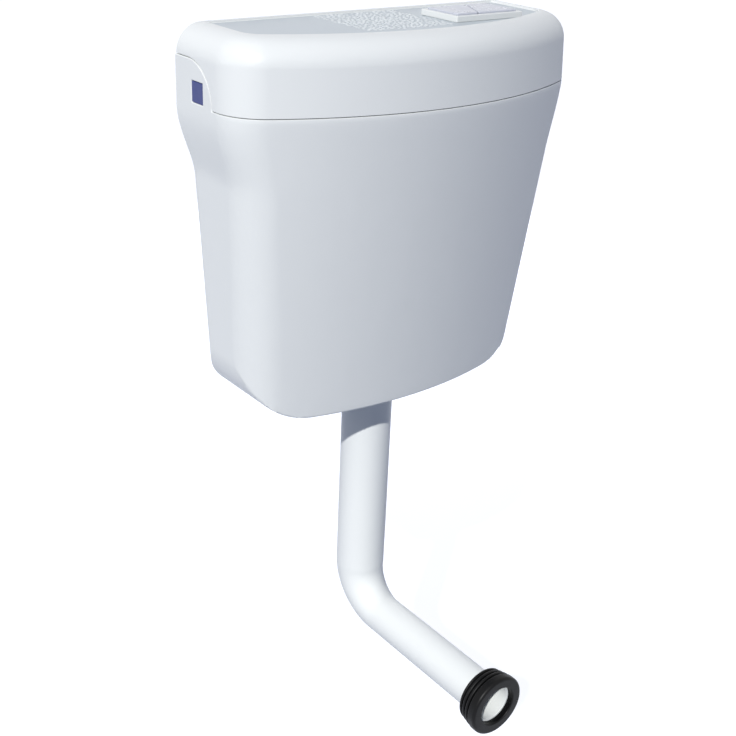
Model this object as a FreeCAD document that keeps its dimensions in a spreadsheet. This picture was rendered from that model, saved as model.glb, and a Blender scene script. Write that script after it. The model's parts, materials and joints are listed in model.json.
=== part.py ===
import FreeCAD, Part
import math
import os
import Sketcher

# Wall-hung low-level flush cistern with flush bend and pan cone, in millimetres.
# X runs to the viewer's right, +Y into the wall (wall face at y = 0), +Z up.
# z = 0 is the parting line between tank and lid.

SIZES = [
    # Lid
    ("lid_half_width", 185, "half the width of the lid"),
    ("lid_front_depth", 138, "wall to the front of the lid at mid-width"),
    ("lid_bow_radius", 367, "radius of the bowed lid front in plan"),
    ("lid_corner_radius", 44, "plan radius of the lid's front corners"),
    ("lid_height", 60, "parting line to the top of the lid"),
    ("lid_edge_radius", 24, "rounding of the lid's top edge"),
    ("lid_side_draft", 1, "how far each lid side leans in at the top"),
    ("lid_front_draft", 4, "how far the lid front leans back at the top"),
    ("lid_wall", 3, "thickness of the lid skirt"),
    ("lid_top", 5, "thickness of the lid top outside the tray"),
    ("lid_back_gap", 1, "space between the lid and the wall"),
    ("parting_gap", 0.6, "gap between lid and tank"),
    ("tray_inset", 25, "lid outline to the edge of the tray in its top"),
    ("tray_back_margin", 3, "back of the lid to the tray"),
    ("tray_depth", 2, "depth of the tray in the lid top"),
    # Tank
    ("tank_height", 280, "parting line to the underside of the tank"),
    ("rim_side_setback", 6, "lid side to the tank side at the rim"),
    ("rim_thickening", 2, "extra thickness of the tank front at the rim"),
    ("side_taper", 19, "how far each tank side leans in at the floor"),
    ("front_taper", 34, "how far the tank front leans back at the floor"),
    ("floor_bow_radius", 400, "plan radius of the tank front at the floor"),
    ("tank_corner_radius", 42, "plan radius of the tank's front corners"),
    ("tank_back_radius", 14, "plan radius of the tank's back corners"),
    ("tank_bottom_radius", 60, "rounding of the bottom corners seen from the front"),
    ("tank_wall", 3.5, "wall thickness of the tank"),
    ("rim_band", 4, "height of the straight band under the rim"),
    ("flare_drop", 60, "height over which the tank draws in under that band"),
    ("lip_height", 6, "height of the lip that locates the lid"),
    ("lip_thickness", 2.5, "thickness of that lip"),
    ("lip_clearance", 0.8, "gap between lip and lid skirt"),
    ("arch_rise", 36, "height of the rear ears above the parting line"),
    ("arch_flat", 20, "straight run of the ear before its curve"),
    ("ear_back_radius", 0.7, "plan radius of the rim's back corners"),
    ("ear_room", 8, "depth of the room inside the ears below the parting line"),
    ("fixing_half_spacing", 110, "mid-width to a wall fixing hole"),
    ("fixing_height", 20, "parting line to the wall fixing holes"),
    ("fixing_radius", 4.5, "radius of a wall fixing hole"),
    ("window_size", 17.5, "side of the square inlet windows"),
    ("window_depth", 34, "wall to the middle of an inlet window"),
    ("window_height", 10.5, "parting line to the middle of an inlet window"),
    # Outlet
    ("outlet_depth", 37, "wall to the outlet axis"),
    ("well_radius", 33.2, "radius of the recess around the outlet"),
    ("well_height", 28, "height of the recess around the outlet"),
    ("tail_radius", 28, "radius of the threaded outlet tail"),
    ("tail_length", 18, "length of the tail under the recess ceiling"),
    ("tail_clearance", 0.7, "gap round the tail in the tank floor"),
    ("thread_fit", 0.05, "gap between mating threads"),
    ("socket_depth", 13, "depth of the pipe socket in the tail"),
    ("socket_clearance", 0.2, "gap between pipe and socket"),
    ("backnut_radius", 31.5, "radius over the lugs of the outlet nuts"),
    ("backnut_height", 9, "height of the outlet back nut"),
    ("lug_height", 2, "height of the grip lugs on the outlet nuts"),
    ("lug_half_width", 3, "half the width of a grip lug"),
    ("union_height", 17, "height of the flush pipe nut"),
    ("union_lip", 4, "thickness of the flush pipe nut's lower lip"),
    ("union_clearance", 0.4, "gap between that lip and the pipe"),
    ("pipe_seal_height", 5, "height of the flush pipe seal"),
    ("washer_thickness", 3, "thickness of the outlet washer"),
    ("base_flange", 33, "radius of the flush valve flange"),
    ("base_thickness", 4, "thickness of the flush valve flange"),
    ("seat_rise", 5.5, "flush valve flange to the seat"),
    ("seat_width", 2, "width of the seat's edge"),
    ("waterway_radius", 22, "radius of the flush valve waterway"),
    # Flush pipe and pan cone
    ("pipe_radius", 25, "outer radius of the upper pipe leg"),
    ("pipe_end_radius", 20, "outer radius of the lower pipe leg"),
    ("pipe_wall", 2, "wall thickness of the flush pipe"),
    ("bend_radius", 45, "axis radius of the bend"),
    ("pipe_drop", 548, "parting line down to the lower leg axis"),
    ("pipe_reach", 250, "wall to the open end of the lower leg"),
    ("cone_radius", 31, "outer radius of the smooth ring at the cone's front"),
    ("cone_back_radius", 28, "outer radius of the cone's rearmost rib"),
    ("cone_length", 24, "length of the pan cone"),
    ("cone_ring", 9, "length of the smooth ring at the cone's front"),
    ("cone_nose", 6, "length of cone ahead of the pipe end"),
    ("cone_chamfer", 2.5, "bevel at the front of the cone"),
    ("cone_fit", 0.1, "gap between cone and pipe"),
    ("rib_width", 2.8, "width of a cone rib"),
    ("rib_depth", 2.5, "depth of the grooves between ribs"),
    ("rib_flank", 0.6, "run of a rib's sloping flank"),
    # Flush valve
    ("seat_gap", 0.3, "free gap between parts that move"),
    ("tower_radius", 31.5, "outer radius of the flush valve cage"),
    ("tower_wall", 2.5, "wall of the flush valve cage"),
    ("tower_top", -116, "height of the cage top"),
    ("tower_cap", 4, "thickness of the cage top"),
    ("port_sill", 6, "flush valve flange to the cage ports"),
    ("port_height", 34, "height of the cage ports"),
    ("port_half_width", 15, "half the width of a cage port"),
    ("tube_radius", 15, "outer radius of the overflow tube"),
    ("tube_wall", 2, "wall of the overflow tube"),
    ("tube_clearance", 0.6, "gap round the overflow tube in the cage top"),
    ("tube_top", -34, "height of the overflow edge"),
    ("collar_radius", 19, "radius of the lifting collar"),
    ("collar_thickness", 3, "thickness of the lifting collar"),
    ("disc_overlap", 3, "how far the tube's foot disc overlaps the waterway"),
    ("disc_thickness", 3, "thickness of the foot disc"),
    ("seal_overlap", 5, "how far the flush seal overlaps the waterway"),
    ("seal_thickness", 3, "thickness of the flush seal"),
    ("spigot_wall", 1, "wall of the spigot that holds the flush seal"),
    ("ring_float_drop", 26, "cage ceiling to the top of the ring float"),
    ("ring_float_height", 38, "height of the ring float"),
    ("ring_float_gap", 2.5, "gap between ring float and cage"),
    # Flush levers
    ("pivot_offset", 48, "mid-width to the lever pivot"),
    ("pivot_height", -50, "height of the lever pivot"),
    ("press_travel", 8, "travel of a push pad"),
    ("lever_thickness", 5, "thickness of the levers"),
    ("lever_back", 4, "outlet axis to the back edge of the flush lever"),
    ("lever_play", 1, "gap between a lever and the bracket"),
    ("lever_overrun", 7, "length of a lever past its push rod"),
    ("lever_shoulder", 12, "pivot to where a lever starts to narrow"),
    ("tip_half_width", 5, "half the width of a lever's tip"),
    ("tip_gap", 0.8, "flush lever tip to the overflow tube"),
    ("trip_reach", 24, "pivot to the tip of the half flush trip"),
    ("hub_radius", 5.5, "radius of a lever's hub"),
    ("pin_radius", 2.5, "radius of the lever pin"),
    ("pin_head_radius", 4.5, "radius of the lever pin's heads"),
    ("pin_head", 2.5, "thickness of a lever pin head"),
    ("pin_slack", 0.5, "gap between a lever and a pin head"),
    ("bracket_ahead", 24, "outlet axis to the lever bracket"),
    ("bracket_thickness", 4, "thickness of the lever bracket"),
    ("bracket_foot", 13, "half the width of the bracket's foot"),
    ("bracket_rise", 26, "height of the bracket at its far edge"),
    ("bracket_eye", 7, "half the size of the bracket's eye"),
    # Push plate and pads
    ("pad_middle", 80, "mid-width to the middle of the push plate"),
    ("pad_depth", 62, "wall to the middle of the push plate"),
    ("plate_length", 78, "width of the push plate"),
    ("plate_breadth", 48, "breadth of the push plate"),
    ("plate_height", 5.5, "height of the push plate above the tray"),
    ("plate_rim", 3.5, "width of the rim around the pads"),
    ("housing_wall", 1.5, "wall of the pad housing below the tray"),
    ("housing_clearance", 0.5, "gap round the pad housing in the lid"),
    ("well_depth", 18, "depth of the pad housing below the tray"),
    ("housing_floor", 2, "thickness of the pad housing's floor"),
    ("guide_length", 12, "length of the push rod guides"),
    ("guide_wall", 3, "wall of the push rod guides"),
    ("retainer_thickness", 3, "thickness of the retaining frame"),
    ("retainer_overlap", 4, "retaining frame beyond the push plate outline"),
    ("retainer_gap", 0.2, "gap between retaining frame and housing"),
    ("pad_slant", 11, "half the slant of the split between the pads"),
    ("pad_gap", 0.5, "free gap around a pad"),
    ("pad_proud", 1.5, "height of the pads above the push plate"),
    ("pad_thickness", 10.5, "height of a pad"),
    ("pad_roof", 3, "thickness of a pad's top"),
    ("pad_wall", 2, "wall of a pad"),
    ("full_rod_offset", 73, "mid-width to the full flush rod"),
    ("full_rod_depth", 52, "wall to the full flush rod"),
    ("half_rod_offset", 87, "mid-width to the half flush rod"),
    ("half_rod_depth", 72, "wall to the half flush rod"),
    ("rod_radius", 4, "radius of the push rods"),
    ("spring_radius", 6.6, "mean radius of the return springs"),
    ("spring_wire", 0.6, "radius of the spring wire"),
    ("spring_play", 0.1, "gap between a spring and its pad"),
    # Inlets
    ("inlet_flange_radius", 15, "radius of the inlet flanges and gaskets"),
    ("gasket_thickness", 3, "thickness of the inlet gaskets"),
    ("peg_clearance", 0.2, "gap round a square peg in its window"),
    ("peg_setback", 0.2, "ear face to the end of a peg"),
    ("plug_flange", 3, "thickness of the plug's flange"),
    ("fill_flange", 4, "thickness of the fill valve's flange"),
    ("shank_radius", 8.3, "radius of the threaded inlet shank"),
    ("shank_reach", 23, "length of shank outside the tank"),
    ("inlet_bore", 5, "radius of the inlet waterway"),
    ("relief_depth", 0.6, "depth of the groove behind the inlet nut"),
    ("relief_width", 1, "width of that groove"),
    ("inlet_nut_radius", 13.5, "hexagon radius of the inlet nut"),
    ("inlet_nut_height", 7, "height of the nut's hexagon"),
    ("inlet_nut_flange", 2, "thickness of the nut's flange"),
    ("filter_length", 14, "length of the inlet filter"),
    ("filter_wall", 1.5, "wall of the inlet filter"),
    ("filter_rim_radius", 6.5, "radius of the filter's rim"),
    ("filter_rim", 1.5, "thickness of the filter's rim"),
    ("filter_fit", 0.1, "gap round the inlet filter"),
    # Fill valve
    ("chamber_inset", 39.5, "inside of the ear to the fill valve axis"),
    ("chamber_radius", 12, "radius of the fill valve chamber"),
    ("chamber_wall", 2.5, "wall of the chamber"),
    ("chamber_floor", 6, "thickness of the chamber's floor"),
    ("chamber_drop", 18.5, "inlet axis down to the chamber's foot"),
    ("chamber_height", 30, "height of the chamber"),
    ("spout_radius", 5, "radius of the chamber's spout"),
    ("cap_overhang", 1, "chamber side to the edge of its cap"),
    ("cap_height", 7, "height of the cap"),
    ("cap_chamfer", 2, "bevel of the cap"),
    ("diaphragm_thickness", 4, "thickness of the diaphragm"),
    ("diaphragm_fit", 0.1, "gap round the diaphragm"),
    ("fill_axis_drop", 2.5, "inlet axis down to the fill lever pin"),
    ("fill_boss_radius", 4, "radius of the boss for the fill lever pin"),
    ("fill_boss_proud", 1, "chamber side to the face of that boss"),
    ("fill_pin_radius", 1.5, "radius of the fill lever pin"),
    ("fill_pin_seat", 2.5, "depth of that pin in its boss"),
    ("fill_pin_head_radius", 3.5, "radius of that pin's head"),
    ("fill_pin_head", 2, "thickness of that pin's head"),
    ("fill_lever_play", 0.4, "gap between fill lever and boss"),
    ("fill_lever_width", 4, "width of the fill lever"),
    ("fill_lever_thickness", 4, "thickness of the fill lever"),
    ("fill_hub_radius", 4.5, "radius of the fill lever's hub"),
    ("fill_eye_radius", 6, "radius of the fill lever's eye"),
    ("fill_eye_bore", 3.6, "radius of the hole in that eye"),
    ("fill_tube_radius", 7, "radius of the fill tube"),
    ("fill_tube_wall", 1.5, "wall of the fill tube"),
    ("fill_tube_foot", 45, "tank floor to the foot of the fill tube"),
    ("float_stop", 3, "how far the float's stop stands out of the fill tube"),
    ("float_stop_height", 4, "height of that stop"),
    ("float_travel", 38, "travel of the fill float"),
    ("float_low", -132, "height of the float's underside when it hangs"),
    ("float_height", 50, "height of the fill float"),
    ("float_width", 42, "width of the fill float"),
    ("float_breadth", 38, "breadth of the fill float"),
    ("float_wall", 2, "wall of the fill float"),
    ("sleeve_wall", 2.5, "fill tube to the outside of the float's sleeve"),
    ("sleeve_gap", 0.4, "gap between fill tube and float"),
    ("float_rod_arm", 17, "fill valve axis to the float rod"),
    ("float_rod_ahead", 16, "inlet axis to the float rod, away from the wall"),
    ("float_rod_radius", 2, "radius of the float rod"),
    ("float_rod_foot", 3, "radius and height of the rod's foot"),
    ("float_rod_stop", 4.5, "radius of the rod's stop"),
    ("float_rod_stop_height", 3, "height of the rod's stop"),
    ("float_rod_head", 4, "inlet axis to the top of the float rod"),
]

SPRING_TURNS = 6
CONE_RIBS = 3
NUT_LUGS = 8
OVERCUT = 5  # how far a cutting shape runs past the face that it cuts
NEAR = 0.01  # points closer than this count as one place

V = FreeCAD.Vector
document = FreeCAD.newDocument("flush_cistern")
sheet = document.addObject("Spreadsheet::Sheet", "Dims")


class Size:
    """A length that keeps both its number and its spreadsheet formula."""

    def __init__(self, value, formula):
        self.value = value
        self.formula = formula

    def __add__(self, other):
        other = sized(other)
        return Size(self.value + other.value, f"({self.formula} + {other.formula})")

    def __sub__(self, other):
        other = sized(other)
        return Size(self.value - other.value, f"({self.formula} - {other.formula})")

    def __mul__(self, other):
        other = sized(other)
        return Size(self.value * other.value, f"({self.formula} * {other.formula})")

    def __truediv__(self, other):
        other = sized(other)
        return Size(self.value / other.value, f"({self.formula} / {other.formula})")

    def __neg__(self):
        return Size(-self.value, f"(0 - {self.formula})")

    def __radd__(self, other):
        return sized(other) + self

    def __rsub__(self, other):
        return sized(other) - self

    def __rmul__(self, other):
        return sized(other) * self

    def __rtruediv__(self, other):
        return sized(other) / self


def sized(thing):
    if isinstance(thing, Size):
        return thing
    return Size(float(thing), f"({float(thing)})")


def root(size):
    return Size(math.sqrt(size.value), f"sqrt({size.formula})")


def arc_sine(size):
    return Size(math.degrees(math.asin(size.value)), f"asin({size.formula})")


class Dimensions:
    """The driving dimensions by name, each tied to its spreadsheet cell."""


d = Dimensions()
for row, (alias, number, note) in enumerate(SIZES, start=1):
    sheet.set(f"A{row}", note)
    sheet.set(f"B{row}", str(number))
    sheet.setAlias(f"B{row}", alias)
    setattr(d, alias, Size(float(number), f"Dims.{alias}"))
document.recompute()


def bind(thing, name, size):
    thing.setExpression(name, sized(size).formula)


def place(thing, x=0, y=0, z=0, turn=None):
    """Put an object at a bound position, with an optional fixed turn."""
    position = [sized(value) for value in (x, y, z)]
    base = V(*[size.value for size in position])
    thing.Placement = FreeCAD.Placement(base, turn or FreeCAD.Rotation())
    for letter, size in zip("xyz", position):
        if size.value != 0 or "Dims" in size.formula:
            bind(thing, f"Placement.Base.{letter}", size)
    return thing


def blank_sketch(body, name, plane, offset=0):
    sketch = body.newObject("Sketcher::SketchObject", name)
    support = [item for item in body.Origin.OriginFeatures if item.Role == plane][0]
    sketch.AttachmentSupport = [(support, "")]
    sketch.MapMode = "FlatFace"
    bind(sketch, "AttachmentOffset.Base.z", offset)
    return sketch


def constrain(sketch, constraints):
    """Add constraints given as (kind, place..., size) and tie each size to its formula."""
    sketch.addConstraint([
        Sketcher.Constraint(*where, size.value) for *where, size in constraints])
    for index, (*where, size) in enumerate(constraints):
        sketch.setExpression(f"Constraints[{index}]", size.formula)


def disc_on(body, name, plane, radius, across, up, offset):
    """A round outline."""
    sketch = blank_sketch(body, name, plane, offset)
    circle = Part.Circle(V(across.value, up.value, 0), V(0, 0, 1), radius.value)
    sketch.addGeometry([circle], False)
    constrain(sketch, [
        ("DistanceX", 0, 3, across), ("DistanceY", 0, 3, up), ("Radius", 0, radius)])
    return sketch


def sketch_on(body, name, plane, corners, offset=0):
    """A closed outline. A corner is (across, up) or (across, up, radius of the arc to the next
    corner); a positive radius bulges out of an anticlockwise outline, a negative one into it."""
    sketch = blank_sketch(body, name, plane, offset)
    points = [(sized(corner[0]), sized(corner[1])) for corner in corners]
    radii = [sized(corner[2]) if len(corner) > 2 else None for corner in corners]
    edges = []
    starts = []
    for index, radius in enumerate(radii):
        first = V(*[size.value for size in points[index]], 0)
        last = V(*[size.value for size in points[(index + 1) % len(points)]], 0)
        starts.append(1)
        if radius is None:
            edges.append(Part.LineSegment(first, last))
            continue
        if radius.value < 0:
            first, last = last, first
            starts[index] = 2
        chord = last - first
        reach = math.sqrt(radius.value ** 2 - (chord.Length / 2) ** 2)
        left = V(-chord.y, chord.x, 0).normalize()
        middle = (first + last) * 0.5 + left * reach
        angles = [math.atan2(point.y - middle.y, point.x - middle.x) for point in (first, last)]
        if angles[1] < angles[0]:
            angles[1] += 2 * math.pi
        circle = Part.Circle(middle, V(0, 0, 1), abs(radius.value))
        edges.append(Part.ArcOfCircle(circle, angles[0], angles[1]))
    sketch.addGeometry(edges, False)
    constraints = []
    formulas = []
    for index in range(len(edges)):
        follower = (index + 1) % len(edges)
        joint = (index, 3 - starts[index], follower, starts[follower])
        constraints.append(Sketcher.Constraint("Coincident", *joint))
    for index, point in enumerate(points):
        for kind, size in zip(("DistanceX", "DistanceY"), point):
            formulas.append((len(constraints), size.formula))
            constraints.append(Sketcher.Constraint(kind, index, starts[index], size.value))
        if radii[index] is not None:
            size = radii[index] if radii[index].value > 0 else -radii[index]
            formulas.append((len(constraints), size.formula))
            constraints.append(Sketcher.Constraint("Radius", index, size.value))
    sketch.addConstraint(constraints)
    for index, formula in formulas:
        sketch.setExpression(f"Constraints[{index}]", formula)
    return sketch


def new_body(name):
    return document.addObject("PartDesign::Body", name)


def turned(name, profile, x=0, y=0, z=0, turn=None):
    """A piece of revolution; the profile gives (radius, height) round its own upright axis."""
    body = new_body(name)
    sketch = sketch_on(body, name + "_profile", "XZ_Plane", profile)
    revolution = body.newObject("PartDesign::Revolution", name + "_turned")
    revolution.Profile = sketch
    revolution.ReferenceAxis = (sketch, ["V_Axis"])
    revolution.Angle = 360
    return place(body, x, y, z, turn)


def extruded(name, plane, corners, start, length, both=False):
    """A plate. XY plates grow up from start; XZ plates grow away from the wall."""
    body = new_body(name)
    sketch = sketch_on(body, name + "_outline", plane, corners, start)
    pad = body.newObject("PartDesign::Pad", name + "_pad")
    pad.Profile = sketch
    pad.SideType = "Symmetric" if both else "One side"
    bind(pad, "Length", length)
    return body


def lofted(name, sections, ruled=True):
    """A solid through level outlines, each given as (level, corners)."""
    body = new_body(name)
    sketches = []
    for number, (level, corners) in enumerate(sections, start=1):
        sketches.append(sketch_on(body, f"{name}_level_{number}", "XY_Plane", corners, level))
    loft = body.newObject("PartDesign::AdditiveLoft", name + "_loft")
    loft.Profile = sketches[0]
    loft.Sections = sketches[1:]
    loft.Ruled = ruled
    return body


def box(name, across, deep, high):
    """A box between pairs of limits along X, Y and Z."""
    block = document.addObject("Part::Box", name)
    limits = [(sized(low), sized(top)) for low, top in (across, deep, high)]
    for prop, (low, top) in zip(("Length", "Width", "Height"), limits):
        bind(block, prop, top - low)
    return place(block, *[low for low, top in limits])


def cylinder(name, radius, height, x, y, z, turn=None):
    rod = document.addObject("Part::Cylinder", name)
    bind(rod, "Radius", radius)
    bind(rod, "Height", height)
    return place(rod, x, y, z, turn)


def fused(name, pieces):
    union = document.addObject("Part::MultiFuse", name)
    union.Shapes = pieces
    return union


def without(name, base, tools):
    """The base piece less one or more tools."""
    difference = document.addObject("Part::Cut", name)
    difference.Base = base
    difference.Tool = tools[0] if len(tools) == 1 else fused(name + "_tools", tools)
    return difference


def rectangle(x0, x1, y0, y1):
    return [(x0, y0), (x1, y0), (x1, y1), (x0, y1)]


ALONG_X = FreeCAD.Rotation(V(0, 0, 1), V(1, 0, 0))
TO_FRONT = FreeCAD.Rotation(V(0, 0, 1), V(0, -1, 0))


def plan(half_width, front, bow, corner, back=0, back_radius=None):
    """Bow-fronted plan outline with its straight back on the line y = back."""
    centre = bow - front
    inner = bow - corner
    reach = root(inner * inner - (half_width - corner) * (half_width - corner))
    side = centre - reach
    across = bow * (half_width - corner) / inner
    ahead = centre - bow * reach / inner
    front_part = [
        (-half_width, side, corner),
        (-across, ahead, bow),
        (across, ahead, corner),
        (half_width, side),
    ]
    if back_radius is None:
        return [(-half_width, back)] + front_part + [(half_width, back)]
    shoulder = sized(back) - back_radius
    left = [(-(half_width - back_radius), back, back_radius), (-half_width, shoulder)]
    right = [(half_width, shoulder, back_radius), (half_width - back_radius, back)]
    return left + front_part + right


def lid_plan(inset, back, lean=0):
    """The lid outline moved in by the inset; the lean is 0 at its foot and 1 at its top."""
    return plan(
        d.lid_half_width - inset - lean * d.lid_side_draft,
        d.lid_front_depth - inset - lean * d.lid_front_draft,
        d.lid_bow_radius - inset, d.lid_corner_radius - inset, back)


def fillet_edges(body, name, radius, wanted):
    """Round the edges of a body whose middle point is wanted."""
    document.recompute()
    tip = body.Tip
    picked = []
    for index, edge in enumerate(tip.Shape.Edges, start=1):
        if wanted(edge.valueAt((edge.FirstParameter + edge.LastParameter) / 2)):
            picked.append(f"Edge{index}")
    rounding = body.newObject("PartDesign::Fillet", name)
    rounding.Base = (tip, picked)
    bind(rounding, "Radius", radius)
    return rounding


# Levels and places that several pieces share

rim_half = d.lid_half_width - d.rim_side_setback
floor_half = rim_half - d.side_taper
arch_front = d.arch_flat + d.arch_rise
inner_face = d.lid_half_width - d.tank_wall
seal_face = inner_face - d.gasket_thickness

tray_level = d.lid_height - d.tray_depth
lid_ceiling = d.lid_height - d.lid_top
plate_top = tray_level + d.plate_height
housing_base = tray_level - d.well_depth + d.housing_floor
housing_inset = d.plate_rim - d.housing_wall
pad_top = plate_top + d.pad_proud
pad_low = pad_top - d.pad_thickness
pad_ceiling = pad_top - d.pad_roof

axis_y = -d.outlet_depth
well_ceiling = d.well_height - d.tank_height
valve_floor = well_ceiling + d.tank_wall
flange_under = valve_floor + d.washer_thickness
flange_top = flange_under + d.base_thickness
seat_level = flange_top + d.seat_rise
tail_end = well_ceiling - d.tail_length
pipe_top = tail_end + d.socket_depth
cage_ceiling = d.tower_top - d.tower_cap
tube_bore = d.tube_radius - d.tube_wall

window_y = -d.window_depth
window_z = d.window_height
peg_half = d.window_size / 2 - d.peg_clearance
chamber_x = inner_face - d.chamber_inset
chamber_low = window_z - d.chamber_drop
chamber_top = chamber_low + d.chamber_height
fill_axis = window_z - d.fill_axis_drop
boss_face = d.window_depth + d.chamber_radius + d.fill_boss_proud
fill_lever_back = boss_face + d.fill_lever_play
shank_end = d.lid_half_width + d.shank_reach
rod_x = chamber_x + d.float_rod_arm
rod_y = window_y - d.float_rod_ahead

RODS = {
    "full_flush": (d.full_rod_offset, -d.full_rod_depth),
    "half_flush": (d.half_rod_offset, -d.half_rod_depth),
}


# Tank

def bottom_corner_cuts(body, name, top_half, floor_half, height, radius):
    """Cut both bottom corners of a tapered body to a radius, straight through from the front."""
    lean = top_half - floor_half
    slope = root(lean * lean + height * height)
    tangent = radius * (height / slope) / (1 + lean / slope)
    beside = floor_half + tangent * lean / slope
    above = tangent * height / slope - height
    clear = floor_half + radius
    beneath = -(height + radius)
    right = [
        (floor_half - tangent, -height, radius),
        (beside, above),
        (clear, above),
        (clear, beneath),
        (floor_half - tangent, beneath),
    ]
    left = [
        (-beside, above, radius),
        (-(floor_half - tangent), -height),
        (-(floor_half - tangent), beneath),
        (-clear, beneath),
        (-clear, above),
    ]
    for side, corners in (("right", right), ("left", left)):
        sketch = sketch_on(body, f"{name}_{side}", "XZ_Plane", corners)
        pocket = body.newObject("PartDesign::Pocket", f"{name}_{side}_cut")
        pocket.Profile = sketch
        pocket.SideType = "Symmetric"
        bind(pocket, "Length", 4 * d.lid_front_depth)


def tank_plan(level, inset=0, swell=0, thickening=0):
    """The tank's outline at a level, moved in by the inset, and at the front by the thickening too.

    Its front is flush with the lid's at the foot of the rim band, and leans back from there; a
    swell of 1 makes it as wide as the lid.
    """
    down = -sized(level) / d.tank_height
    lean = (-sized(level) - d.rim_band) / (d.tank_height - d.rim_band)
    half_width = rim_half - down * d.side_taper
    corner = d.tank_corner_radius
    back = d.tank_back_radius
    return plan(
        half_width + swell * (d.lid_half_width - half_width) - inset,
        d.lid_front_depth - lean * d.front_taper - inset - thickening,
        d.lid_bow_radius + lean * (d.floor_bow_radius - d.lid_bow_radius) - inset - thickening,
        corner + swell * (d.lid_corner_radius - corner) - inset,
        -sized(inset),
        back + swell * (d.ear_back_radius - back) - inset)


def vessel(name, inset, top, thickening, depth):
    """The tapered tank form from a top level down to its floor, moved in all round by the inset."""
    body = lofted(name, [
        (top, tank_plan(top, inset, 0, thickening)), (-depth, tank_plan(-d.tank_height, inset))])
    bottom_corner_cuts(
        body, name + "_corner", rim_half - inset, floor_half - inset, depth, d.tank_bottom_radius - inset)
    return body


# Stages of the flare under the rim, from top to foot: share of its drop and swell towards the lid.
FLARE_STAGES = ((0, 1), (0.25, 0.84), (0.5, 0.5), (0.75, 0.16), (1, 0))


def rim_flare():
    """The part of the tank under the rim, which draws in from the lid's outline to the tank's own."""
    stages = []
    for drop, swell in FLARE_STAGES:
        level = -(d.rim_band + drop * d.flare_drop)
        stages.append((level, tank_plan(level, swell=swell)))
    return lofted("tank_flare", stages, ruled=False)


def arch(name, gap, foot, back, half_length):
    """A bar along X whose end view is the curved ear outline, grown by the gap."""
    rise = d.arch_rise + gap
    outline = [
        (back, foot),
        (back, rise),
        (-d.arch_flat, rise, rise),
        (-(d.arch_flat + rise), 0),
        (-(d.arch_flat + rise), foot),
    ]
    return extruded(name, "YZ_Plane", outline, 0, 2 * half_length, both=True)


def make_tank():
    wall = d.tank_wall
    outer = vessel("tank_outer", 0, -(d.rim_band + d.flare_drop), 0, d.tank_height)
    band = extruded("tank_band", "XY_Plane", tank_plan(-d.rim_band, swell=1), -d.rim_band, d.rim_band)
    gallery = arch("tank_gallery", 0, -d.rim_band, 0, d.lid_half_width)
    outside = fused("tank_outside", [outer, rim_flare(), band, gallery])

    inner = vessel("tank_inner", wall, 0, d.rim_thickening, d.tank_height - wall)
    across = (-inner_face, inner_face)
    above = box(
        "tank_head_room", across, (-d.lid_front_depth, -wall), (0, d.arch_rise + OVERCUT))
    beside = box("tank_ear_room", across, (wall - arch_front, -wall), (-d.ear_room, 0))
    mouth = fused("tank_hollow", [inner, above, beside])
    shell = without("tank_shell", outside, [mouth])

    lip_inset = d.lid_wall + d.lip_clearance
    root_depth = d.lip_thickness / 2
    lip_outer = extruded(
        "lip_outer", "XY_Plane", lid_plan(lip_inset, 0), -root_depth, d.lip_height + root_depth)
    lip_hollow = extruded(
        "lip_inner", "XY_Plane", lid_plan(lip_inset + d.lip_thickness, OVERCUT), -d.lip_height,
        3 * d.lip_height)
    behind = box(
        "lip_back", (-d.lid_half_width, d.lid_half_width), (-(arch_front + wall), OVERCUT),
        (-OVERCUT, d.lip_height + OVERCUT))
    lip = without("tank_lip", lip_outer, [lip_hollow, behind])

    floor = -d.tank_height
    boss = cylinder("outlet_boss", d.well_radius + wall, d.well_height + wall, 0, axis_y, floor)
    filled = fused("tank_with_boss", [shell, boss, lip])
    well = cylinder(
        "outlet_well", d.well_radius, d.well_height + OVERCUT, 0, axis_y, floor - OVERCUT)
    hole = cylinder(
        "outlet_hole", d.tail_radius + d.tail_clearance, 2 * d.well_height, 0, axis_y, floor)
    half = d.window_size / 2
    windows = box(
        "inlet_windows", (-(d.lid_half_width + OVERCUT), d.lid_half_width + OVERCUT),
        (window_y - half, window_y + half), (window_z - half, window_z + half))
    fixings = []
    for side, name in ((1, "fixing_right"), (-1, "fixing_left")):
        fixings.append(cylinder(
            name, d.fixing_radius, 4 * wall, side * d.fixing_half_spacing, wall,
            d.fixing_height, TO_FRONT))
    return without("tank", filled, [well, hole, windows] + fixings)


# Lid

def lid_lean(level):
    """How far up the lid a level lies: 0 at the foot of its skirt, 1 at its top."""
    return (level - d.parting_gap) / (d.lid_height - d.parting_gap)


def make_lid():
    outer_back = -d.lid_back_gap
    outer = lofted("lid_outer", [
        (d.lid_height, lid_plan(0, outer_back, 1)), (d.parting_gap, lid_plan(0, outer_back))])
    fillet_edges(
        outer, "lid_edge", d.lid_edge_radius,
        lambda middle: abs(middle.z - d.lid_height.value) < NEAR and middle.y < outer_back.value - NEAR)
    inner_back = outer_back - d.lid_wall
    inner_foot = d.parting_gap - OVERCUT
    inner = lofted("lid_inner", [
        (lid_ceiling, lid_plan(d.lid_wall, inner_back, lid_lean(lid_ceiling))),
        (inner_foot, lid_plan(d.lid_wall, inner_back, lid_lean(inner_foot)))])
    fillet_edges(
        inner, "lid_inner_edge", d.lid_edge_radius - d.lid_top,
        lambda middle: abs(middle.z - lid_ceiling.value) < NEAR and middle.y < inner_back.value - NEAR)
    tray = extruded(
        "lid_tray", "XY_Plane", lid_plan(d.tray_inset, outer_back - d.tray_back_margin, 1),
        tray_level, d.tray_depth + OVERCUT)
    relief = arch("lid_arches", d.parting_gap, -OVERCUT, OVERCUT, d.lid_half_width + OVERCUT)
    opening = plate_box("lid_opening", housing_inset - d.housing_clearance, (0, d.lid_height + OVERCUT))
    return without("lid", outer, [inner, tray, relief, opening])


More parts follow.
